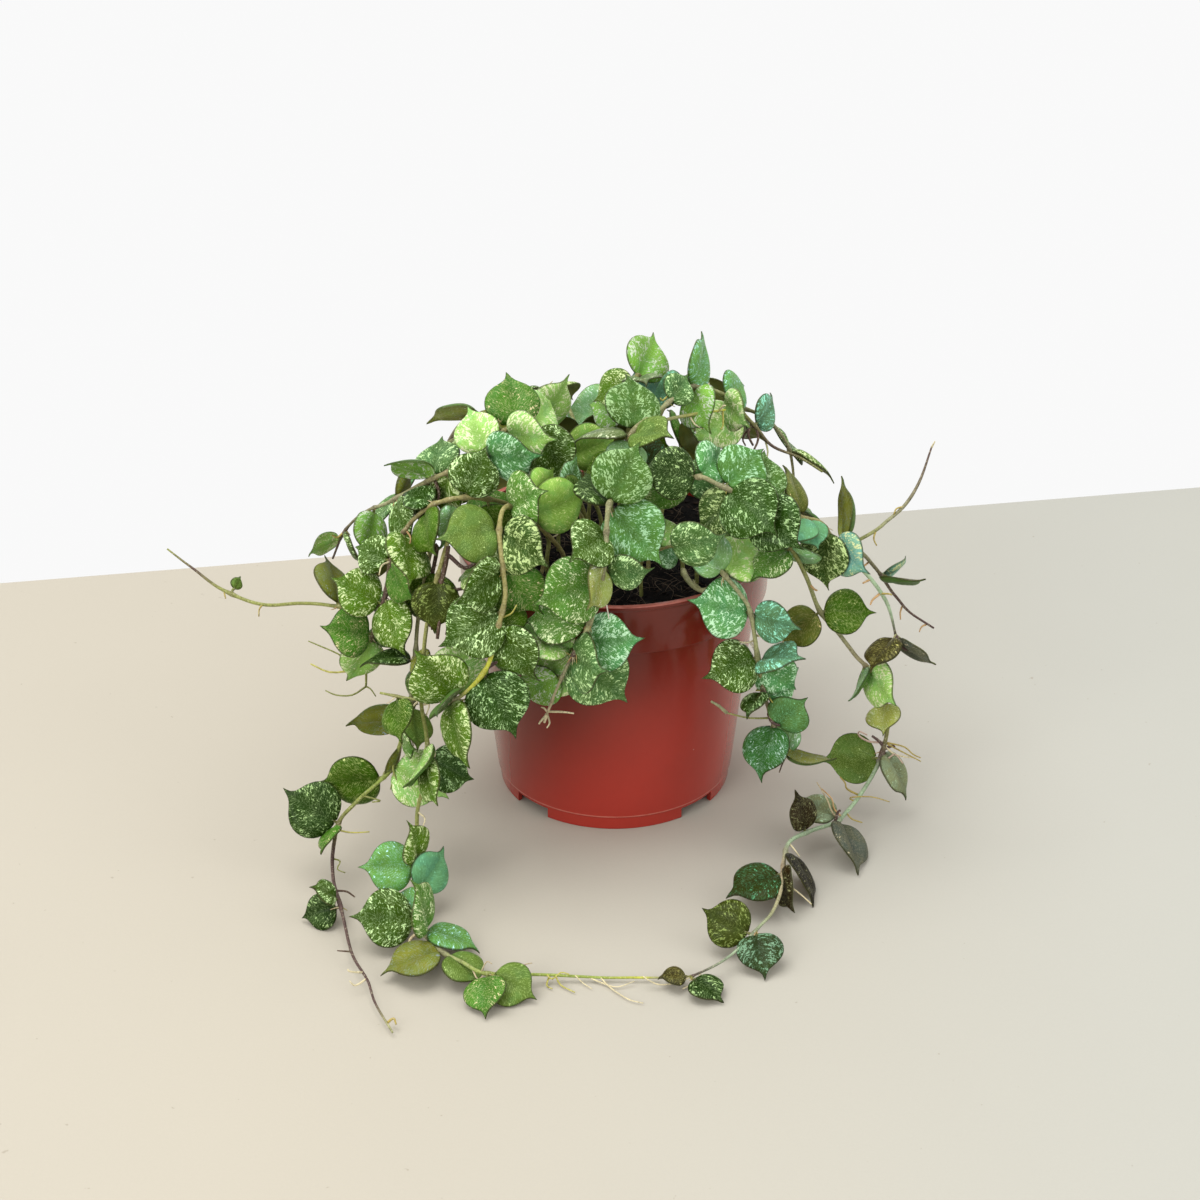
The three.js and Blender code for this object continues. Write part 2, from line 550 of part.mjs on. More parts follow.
// Pieces of one plant part may lie closer to each other than to another part, as they are fused.
function tooNear(other, point, owner) {
  const own = other.owner === owner;
  if (own && other.isStem) {
    return false;
  }
  const reach = other.isStem ? LEAF_REACH + STEM_REACH : 2 * (own ? OWN_REACH : LEAF_REACH);
  return other.point.distanceTo(point) < reach;
}

function nearGrown(point, owner) {
  for (const x of [-CELL, 0, CELL]) {
    for (const y of [-CELL, 0, CELL]) {
      for (const z of [-CELL, 0, CELL]) {
        const cell = grown.get(cellKey(point.x + x, point.y + y, point.z + z)) ?? [];
        if (cell.some((other) => tooNear(other, point, owner))) {
          return true;
        }
      }
    }
  }
  return false;
}

function nearPot(point) {
  const out = Math.hypot(point.x, point.y);
  if (point.z < FLOOR_REACH || (point.z < SOIL_TOP + SOIL_REACH && out < RIM_RADIUS)) {
    return true;
  }
  const side = mix(BODY_FOOT_RADIUS, BODY_TOP_RADIUS, point.z / BAND_FOOT);
  const wall = point.z > BAND_FOOT - BAND_REACH ? RIM_RADIUS + LIP_STAND : side;
  const insideWall = out < BAND_RADIUS - POT_WALL - WALL_REACH;
  return point.z < POT_HEIGHT + POT_REACH && out < wall + POT_REACH && !insideWall;
}

const SAMPLES = [];
for (let height = SAMPLE; height < 1 + SAMPLE / 8; height += SAMPLE) {
  const half = halfWidth(Math.min(height, 1));
  const count = Math.max(1, Math.ceil((2 * half) / SAMPLE));
  for (let i = 0; i <= count; i += 1) {
    SAMPLES.push([mix(-half, half, i / count), height]);
  }
}

// The turns tried for a leaf, in order, until its blade is clear: changes of clock, lean and turn.
const TRIES = [[0, 0, 0], [0, 9, 0], [0, -9, 0], [7, 0, 0], [-7, 0, 0], [0, 18, 0], [0, -18, 0], [0, 0, 16],
  [0, 0, -16], [7, 18, 0], [-7, 18, 0], [7, -18, 0], [-7, -18, 0], [0, 27, 0], [0, -27, 0], [14, 9, 0],
  [-14, 9, 0], [14, -9, 0], [-14, -9, 0], [0, 14, 30], [0, -14, -30], [0, -14, 30], [0, 14, -30],
  [20, 18, 0], [-20, 18, 0], [20, -18, 0], [-20, -18, 0], [0, 38, 0], [0, -38, 0], [28, 10, 30],
  [-28, 10, -30]];
const SHRINKS = [1, 0.9, 0.8];

function growLeaf(foot, bearing, [clock, lean, turn, length], owner, random) {
  const fold = mix(...FOLDS, random());
  const curl = mix(...CURLS, random());
  for (const shrink of SHRINKS) {
    for (const [moreClock, moreLean, moreTurn] of TRIES) {
      const axes = bladeAxes(bearing, rad(clock + moreClock), rad(lean + moreLean), rad(turn + moreTurn));
      const leaf = { foot, axes, length: length * shrink - STALK, fold, curl };
      const sheet = SAMPLES.map(([side, height]) => bladePoint(leaf, side * leaf.length, height, 0));
      if (!sheet.some((point) => nearPot(point) || nearGrown(point, owner))) {
        sheet.forEach((point) => keep(point, false, owner));
        return leaf;
      }
    }
  }
  return null;
}

function growPlant(strands) {
  const spines = strands.map(spineOf);
  strands.forEach((strand, i) => {
    const last = spines[i].length - 1;
    for (let step = 0; step <= last * STEM_SAMPLES; step += 1) {
      keep(spinePoint(spines[i], step / STEM_SAMPLES), true, strand.node);
    }
  });
  const nodes = new Map();
  strands.forEach((strand, i) => {
    const random = numbersFrom(i + 1);
    const spine = spines[i];
    const buried = spine.length - strand.stops.length;
    const solids = [stemSolid(strand, spine)];
    for (const [stop, ...pose] of strand.leaves) {
      const foot = spinePoint(spine, stop + buried);
      const leaf = growLeaf(foot, strand.bearing ?? rad(270), pose, strand.node, random);
      if (leaf) {
        solids.push(bladeSolid(leaf));
      }
    }
    nodes.set(strand.node, [...(nodes.get(strand.node) ?? []), ...solids]);
  });
  return nodes;
}

const plant = new THREE.Group();

function addPiece(name, solid, color, roughness) {
  const material = new THREE.MeshStandardMaterial({ color, roughness, metalness: 0 });
  const mesh = new THREE.Mesh(toGeometry(solid), material);
  mesh.name = name;
  plant.add(mesh);
}

const strands = [...STRANDS, ...BACK_VINES.map(backVine)];
addPiece('pot', pot(), POT_COLOR, 0.32);
addPiece('soil', soil(strands), SOIL_COLOR, 0.95);
for (const [name, solids] of growPlant(strands)) {
  addPiece(name, wasm.Manifold.union(solids), LEAF_COLOR, 0.45);
}

const footprint = new THREE.Box3().setFromObject(plant).getCenter(new THREE.Vector3());
plant.position.set(-footprint.x, -footprint.y, 0);

export default plant;
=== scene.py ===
import math
import random

import bmesh
import bpy
from mathutils import Matrix, Vector, kdtree, noise


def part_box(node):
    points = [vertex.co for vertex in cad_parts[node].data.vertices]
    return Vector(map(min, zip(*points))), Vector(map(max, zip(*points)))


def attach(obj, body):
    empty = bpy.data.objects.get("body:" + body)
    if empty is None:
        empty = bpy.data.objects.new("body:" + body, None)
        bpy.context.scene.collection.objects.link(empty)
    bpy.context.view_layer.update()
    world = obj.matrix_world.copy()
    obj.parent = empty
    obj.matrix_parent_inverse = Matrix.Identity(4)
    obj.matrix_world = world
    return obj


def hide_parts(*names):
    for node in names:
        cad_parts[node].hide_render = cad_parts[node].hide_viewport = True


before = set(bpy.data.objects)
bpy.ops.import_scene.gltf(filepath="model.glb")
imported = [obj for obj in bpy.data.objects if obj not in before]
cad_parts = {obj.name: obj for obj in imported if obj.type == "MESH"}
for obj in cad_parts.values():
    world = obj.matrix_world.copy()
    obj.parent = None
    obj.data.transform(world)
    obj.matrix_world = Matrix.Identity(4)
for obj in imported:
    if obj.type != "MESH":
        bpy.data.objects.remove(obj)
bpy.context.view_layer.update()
potLow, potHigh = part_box("pot")
potAxis = Vector(((potLow.x + potHigh.x) / 2, (potLow.y + potHigh.y) / 2, 0))
mm = 0.001  # lengths here are in metres, and those of the plant in millimetres


def tone(red, green, blue):  # a colour as read on screen, made linear
    return tuple(((part / 255 + 0.055) / 1.055) ** 2.4 for part in (red, green, blue))


# a socket that takes part in sums
class Amount:
    def __init__(self, finish, socket):
        self.finish = finish
        self.socket = socket

    def calc(self, operation, *parts):
        return self.finish.add("ShaderNodeMath", {"operation": operation}, dict(enumerate(parts)))

    def __add__(self, other):
        return self.calc("ADD", self, other)

    def __sub__(self, other):
        return self.calc("SUBTRACT", self, other)

    def __rsub__(self, other):
        return self.calc("SUBTRACT", other, self)

    def __mul__(self, other):
        return self.calc("MULTIPLY", self, other)

    __radd__ = __add__
    __rmul__ = __mul__


# a material being mixed, with one method for every kind of node
class Finish:
    def __init__(self, name):
        self.material = bpy.data.materials.new(name)
        self.material.use_nodes = True
        self.tree = self.material.node_tree
        self.tree.nodes.clear()

    def add(self, kind, settings, inputs, output=0):
        node = self.tree.nodes.new(kind)
        for key, value in settings.items():
            setattr(node, key, value)
        for key, value in inputs.items():
            if isinstance(value, Amount):
                self.tree.links.new(value.socket, node.inputs[key])
            else:
                node.inputs[key].default_value = value
        return Amount(self, node.outputs[output])

    def attribute(self, name, output="Color"):
        return self.add("ShaderNodeAttribute", {"attribute_name": name}, {}, output)

    def split(self, vector):
        return [self.add("ShaderNodeSeparateXYZ", {}, {0: vector}, axis) for axis in "XYZ"]

    def join(self, *parts):
        return self.add("ShaderNodeCombineXYZ", {}, dict(enumerate(parts)))

    def objectPlace(self, stretch=(1, 1, 1)):
        place = self.add("ShaderNodeTexCoord", {}, {}, "Object")
        return self.add("ShaderNodeVectorMath", {"operation": "MULTIPLY"}, {0: place, 1: stretch})

    def noise(self, place, scale, detail=3, roughness=0.5):
        return self.add("ShaderNodeTexNoise", {}, {
            "Vector": place, "Scale": scale, "Detail": detail, "Roughness": roughness})

    def ramp(self, value, low, high):  # smooth from 0 at low to 1 at high
        return self.add("ShaderNodeMapRange", {"interpolation_type": "SMOOTHSTEP"}, {
            "Value": value, "From Min": low, "From Max": high})

    def blend(self, share, under, over, mode="MIX"):
        return self.add("ShaderNodeMix", {"data_type": "RGBA", "blend_type": mode}, {
            0: share, 6: self.colour(under), 7: self.colour(over)}, 2)

    def colour(self, value):
        return value if isinstance(value, Amount) else (*value, 1)

    def grey(self, value):  # for multiplying a colour by
        return self.join(value, value, value)

    def shade(self, value, least, most):
        return self.grey(least + value * (most - least))

    def skin(self, colour, roughness, height=None, distance=0.0003, strength=0.5, **fixed):
        inputs = {"Base Color": colour, "Roughness": roughness, **fixed}
        if height is not None:
            inputs["Normal"] = self.add("ShaderNodeBump", {}, {
                "Height": height, "Distance": distance, "Strength": strength})
        shader = self.add("ShaderNodeBsdfPrincipled", {}, inputs)
        out = self.tree.nodes.new("ShaderNodeOutputMaterial")
        self.tree.links.new(shader.socket, out.inputs["Surface"])
        return self.material


def putAway(bm, name, materials, slot, *nodes):
    for vert in bm.verts:
        vert.co.z = max(vert.co.z, 0)  # nothing dips under the floor
    mesh = bpy.data.meshes.new(name)
    bm.to_mesh(mesh)
    bm.free()
    mesh.shade_smooth()
    for material in materials:
        mesh.materials.append(material)
    piece = bpy.data.objects.new(name, mesh)
    bpy.context.scene.collection.objects.link(piece)
    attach(piece, "root")
    if nodes:
        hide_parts(*nodes)
    return piece


# the pot and its soil

potShape = {  # metres: radius and height down the outside, round the foot and up the inside
    "height": 0.107, "wall": 0.0016, "base": 0.0468, "footHeight": 0.0054, "bodyFoot": 0.0478,
    "bodyEdge": 0.0006, "footWidth": 0.002, "bodyTop": 0.0564, "bandHeight": 0.0207, "band": 0.0599,
    "rim": 0.061, "lipHeight": 0.0016, "lipStand": 0.0006, "underside": 0.0048, "bandSlope": 0.002,
    "gapWidth": 0.017, "gapHeight": 0.0044, "gapDepth": 0.012, "drain": 0.0036, "drainRing": 0.035,
    "steps": 128, "rounding": 0.0004,
}

potTones = {"red": (180, 52, 40), "deep": (72, 30, 20), "grainAndHighlight": (206, 124, 108), "speck": (206, 168, 156)}
potPaintedLight = {  # painted light, heights in metres: where the red starts below the painted shade and is full, then the ledge and the lip that carry a painted highlight
    "red": (0.086, 0.006), "side": 0.8, "middle": 0.02, "cloud": 0.05, "ledge": 0.00635,
    "ledgeEdges": (0.0005, 0.0002), "lip": (0.1064, 0.1068),
}


def potFinish():  # smooth plastic, brighter low down, with painted shade from the leaves above darkening it higher up and to the left, and a painted highlight pale along its rim and its foot
    skin = Finish("terracottaPlastic")
    place = skin.objectPlace()
    across, _, height = skin.split(place)
    w = potPaintedLight
    broad = skin.noise(place, 26, 2, 0.4)
    grain = skin.noise(skin.objectPlace((1, 1, 0.6)), 420, 3, 0.55)
    specks = skin.ramp(skin.noise(place, 520, 1, 0.4), 0.83, 0.85)
    # painted shade of the leaves above: the red turns deep higher up and towards the left
    lower = skin.ramp(height + (broad - 0.5) * w["cloud"] - (across - w["middle"]) * w["side"], *w["red"])
    red = skin.blend(lower * 0.62 + broad * 0.36, tone(*potTones["deep"]), tone(*potTones["red"]))
    brushed = skin.blend(1, red, skin.shade(grain, 0.96, 1.04), "MULTIPLY")
    # painted highlight: a pale band along the foot's ledge and along the lip, where they catch the light
    above = height - w["ledge"]
    ledge = skin.ramp(above.calc("ABSOLUTE", above), *w["ledgeEdges"])
    lip = skin.ramp(height, *w["lip"])
    grainAndHighlight = skin.blend((ledge + lip) * (0.2 + grain * 0.7), brushed, tone(*potTones["grainAndHighlight"]))
    specked = skin.blend(specks * 0.6, grainAndHighlight, tone(*potTones["speck"]))
    return skin.skin(specked, 0.15 + grain * 0.05, broad * 0.6 + grain * 0.04, 0.0008, 0.14,
                     **{"Coat Weight": 0.3, "Coat Roughness": 0.04, "Specular IOR Level": 0.24})


def potProfile():
    p = potShape
    foot = p["height"] - p["bandHeight"]
    inner = p["underside"] + p["wall"]
    return [
        (0, p["underside"]), (p["base"] - p["footWidth"], p["underside"]), (p["base"] - p["footWidth"], 0),
        (p["base"], 0), (p["base"], p["footHeight"]), (p["bodyFoot"], p["footHeight"] + p["bodyEdge"]),
        (p["bodyTop"], foot), (p["band"], foot),
        (p["rim"], p["height"] - p["lipHeight"] - p["lipStand"]),
        (p["rim"] + p["lipStand"], p["height"] - p["lipHeight"]), (p["rim"] + p["lipStand"], p["height"]),
        (p["rim"] - p["wall"], p["height"]), (p["band"] - p["wall"], foot + p["bandSlope"]),
        (p["bodyTop"] - p["wall"], foot), (p["base"] - p["wall"], inner), (0, inner),
    ]


def turned(profile, steps, rounding):  # a profile of (radius, height) spun round the pot's axis
    bm = bmesh.new()
    corners = [bm.verts.new((potAxis.x + radius, potAxis.y, height)) for radius, height in profile]
    for start, end in zip(corners, corners[1:]):
        bm.edges.new((start, end))
    if rounding:
        bmesh.ops.bevel(bm, geom=corners[1:-1], affect="VERTICES", offset=rounding, segments=3,
                        profile=0.5, material=-1)
    bmesh.ops.spin(bm, geom=bm.verts[:] + bm.edges[:], cent=potAxis, axis=(0, 0, 1), angle=math.tau,
                   steps=steps, use_merge=True)
    bmesh.ops.remove_doubles(bm, verts=bm.verts[:], dist=1e-6)
    bmesh.ops.recalc_face_normals(bm, faces=bm.faces[:])
    return bm


def cutter(bm):  # a closed mesh that only takes material away
    mesh = bpy.data.meshes.new("cutter")
    bm.to_mesh(mesh)
    bm.free()
    tool = bpy.data.objects.new("cutter", mesh)
    bpy.context.scene.collection.objects.link(tool)
    return tool


def makePot():
    p = potShape
    shell = turned(potProfile(), p["steps"], p["rounding"])
    cuts = bmesh.new()
    for eighth in range(8):
        bearing = math.tau * eighth / 8
        place = Matrix.Translation(potAxis) @ Matrix.Rotation(bearing, 4, "Z")
        drain = place @ Matrix.Translation((p["drainRing"], 0, p["underside"]))
        bmesh.ops.create_cone(cuts, cap_ends=True, segments=32, radius1=p["drain"], radius2=p["drain"],
                              depth=p["wall"] * 4, matrix=drain)
        if eighth % 2:
            size = Matrix.Diagonal((p["gapDepth"], p["gapWidth"], p["gapHeight"] * 2, 1))
            bmesh.ops.create_cube(cuts, size=1, matrix=place @ Matrix.Translation((p["base"], 0, 0)) @ size)
    tool = cutter(cuts)
    piece = putAway(shell, "nursery_pot", [potFinish()], "pot_plastic", "pot")
    cut = piece.modifiers.new("cuts", "BOOLEAN")
    cut.object = tool
    cut.solver = "EXACT"
    settled = piece.evaluated_get(bpy.context.evaluated_depsgraph_get())
    mesh = bpy.data.meshes.new_from_object(settled)
    piece.modifiers.clear()
    piece.data = mesh
    bpy.data.objects.remove(tool)
    mesh.set_sharp_from_angle(angle=math.radians(35))
    print("pot made:", len(mesh.polygons), "faces")


soilShape = {
    "top": 0.0995, "edge": 0.0585, "relief": 0.0011, "rings": 26, "steps": 90, "grit": 0.0009,
    "wallGap": 0.0003, "stepGap": 0.0004, "bandGap": 0.0005, "fade": 0.003,
}
soilTones = {"peat": (24, 21, 19), "damp": (11, 11, 11), "bark": (44, 36, 30), "fibre": (118, 104, 88)}


def soilFinish():
    skin = Finish("pottingMix")
    place = skin.objectPlace()
    clods = skin.noise(place, 260, 5, 0.7)
    grains = skin.noise(place, 1500, 3, 0.7)
    dark = skin.blend(skin.ramp(clods, 0.4, 0.62), tone(*soilTones["damp"]), tone(*soilTones["peat"]))
    flecked = skin.blend(skin.ramp(grains, 0.6, 0.7) * 0.6, dark, tone(*soilTones["bark"]))
    return skin.skin(flecked, 0.85 + grains * 0.1, clods + grains * 0.4, 0.0012, 0.9,
                     **{"Specular IOR Level": 0.06})


def crumbFinish():
    skin = Finish("barkAndFibre")
    place = skin.objectPlace()
    grain = skin.noise(skin.objectPlace((1, 1, 3)), 900, 4, 0.6)
    kind = skin.attribute("crumbTone")
    grainAndHighlight = skin.blend(1, kind, skin.shade(grain, 0.5, 1.3), "MULTIPLY")
    return skin.skin(grainAndHighlight, 0.8 + skin.noise(place, 2000) * 0.15, grain, 0.0003, 0.6,
                     **{"Specular IOR Level": 0.08})


def soilHeight(x, y):  # the packed soil's waves, in metres, with finer clods on them
    wide, deep = x / mm, y / mm
    wave = math.sin(wide * 0.21 + 1.3) * math.cos(deep * 0.19) + 0.7 * math.sin((wide + deep) * 0.34)
    clods = noise.noise(Vector((wide * 0.28, deep * 0.28, 4.0)))
    clods += 0.5 * noise.noise(Vector((wide, deep, 9.0)))
    return soilShape["top"] + soilShape["relief"] * wave + soilShape["grit"] * clods


def makeSoil():
    p, s = potShape, soilShape
    wall = p["wall"] + s["wallGap"]
    inner = p["underside"] + wall
    step = p["height"] - p["bandHeight"] + s["stepGap"]
    profile = [(0, inner), (p["base"] - wall, inner), (p["bodyTop"] - wall, step),
               (p["band"] - p["wall"] - s["bandGap"], step + p["bandSlope"]), (s["edge"], s["top"])]
    profile += [(s["edge"] * ring / s["rings"], s["top"]) for ring in range(s["rings"] - 1, -1, -1)]
    bm = turned(profile, s["steps"], 0)
    for vert in bm.verts:
        x, y = vert.co.x - potAxis.x, vert.co.y - potAxis.y
        if vert.co.z > s["top"] - 1e-4:
            fade = min(1, max(0, (s["edge"] - math.hypot(x, y)) / s["fade"]))
            vert.co.z += fade * (soilHeight(x, y) - s["top"])
    putAway(bm, "potting_mix", [soilFinish()], "soil_mix", "soil")


crumbs = {
    "seed": 31, "count": 900, "sizes": (0.3, 1.1), "lengths": (1, 2.2), "heights": (0.4, 0.9), "tilt": 0.5,
    "chipped": 0.2, "kinds": ("peat", "peat", "damp", "bark"), "inset": 0.003,
}
fibres = {
    "count": 620, "heading": -math.pi / 2, "spread": 0.9, "bend": 0.4, "rises": (0.7, 0.3, 0, -0.2, -0.4),
    "steps": (1, 2.8), "radii": (0.06, 0.13), "sides": 3, "reach": 0.0574,
}


def scatter(draw):  # a place on the soil's top
    out = (soilShape["edge"] - crumbs["inset"]) * math.sqrt(draw.random())
    turn = draw.uniform(0, math.tau)
    x, y = out * math.cos(turn), out * math.sin(turn)
    return potAxis + Vector((x, y, soilHeight(x, y)))


def dropCrumb(bm, kind, draw):
    c = crumbs
    size = draw.uniform(*c["sizes"]) * mm
    shape = Matrix.Diagonal((size * draw.uniform(*c["lengths"]), size, size * draw.uniform(*c["heights"]), 1))
    turn = Matrix.Rotation(draw.uniform(0, math.tau), 4, "Z")
    turn = turn @ Matrix.Rotation(draw.uniform(-c["tilt"], c["tilt"]), 4, "X")
    place = Matrix.Translation(scatter(draw))
    made = bmesh.ops.create_icosphere(bm, subdivisions=1, radius=1, matrix=place @ turn @ shape)
    paint = tone(*soilTones[draw.choice(c["kinds"])])
    for vert in made["verts"]:
        vert.co += Vector([draw.uniform(-c["chipped"], c["chipped"]) * size for _ in range(3)])
        vert[kind] = (*paint, 1)


def dropFibre(bm, draw):
    f = fibres
    path = [scatter(draw)]
    heading = draw.gauss(f["heading"], f["spread"])
    bend = draw.uniform(-f["bend"], f["bend"])
    for rise in f["rises"]:
        heading += bend * draw.uniform(0.5, 1.5)
        ahead = Vector((math.cos(heading), math.sin(heading), rise * draw.uniform(0.2, 1)))
        path.append(path[-1] + ahead * draw.uniform(*f["steps"]) * mm)
    paint = mixTone(soilTones["bark"], soilTones["fibre"], draw.random())
    if max((point - potAxis).xy.length for point in path) < f["reach"]:
        radius = draw.uniform(*f["radii"]) * mm
        lay(bm, path, [radius] * len(path), f["sides"], {"crumbTone": [paint] * len(path)})


def makeCrumbs():
    draw = random.Random(crumbs["seed"])
    bm = bmesh.new()
    kind = bm.verts.layers.float_color.new("crumbTone")
    for _ in range(crumbs["count"]):
        dropCrumb(bm, kind, draw)
    for _ in range(fibres["count"]):
        dropFibre(bm, draw)
    putAway(bm, "soil_crumbs", [crumbFinish()], "soil_mix")
    print("soil made")


# the plant: how its stems run and where its leaves sit, in millimetres from the pot's axis at floor height

growth = {  # each leaf has the first of the tries, in degrees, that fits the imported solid's corners
    "stalk": 2.4, "thickness": 0.9, "folds": (0.06, 0.26), "curls": (0.03, 0.13), "eyeHeight": 28,
    "rootDepths": (80, 92, 104), "corners": ((0.1, 0.38), (0.36, 0.4971), (0.72, 0.27), (1, 0)),
    "match": 0.03, "enough": 5, "frontBearing": 270, "shrinks": (1, 0.9, 0.8),
    "tries": [
        (0, 0, 0), (0, 9, 0), (0, -9, 0), (7, 0, 0), (-7, 0, 0), (0, 18, 0), (0, -18, 0), (0, 0, 16),
        (0, 0, -16), (7, 18, 0), (-7, 18, 0), (7, -18, 0), (-7, -18, 0), (0, 27, 0), (0, -27, 0), (14, 9, 0),
        (-14, 9, 0), (14, -9, 0), (-14, -9, 0), (0, 14, 30), (0, -14, -30), (0, -14, 30), (0, 14, -30),
        (20, 18, 0), (-20, 18, 0), (20, -18, 0), (-20, -18, 0), (0, 38, 0), (0, -38, 0), (28, 10, 30),
        (-28, 10, -30),
    ],
}
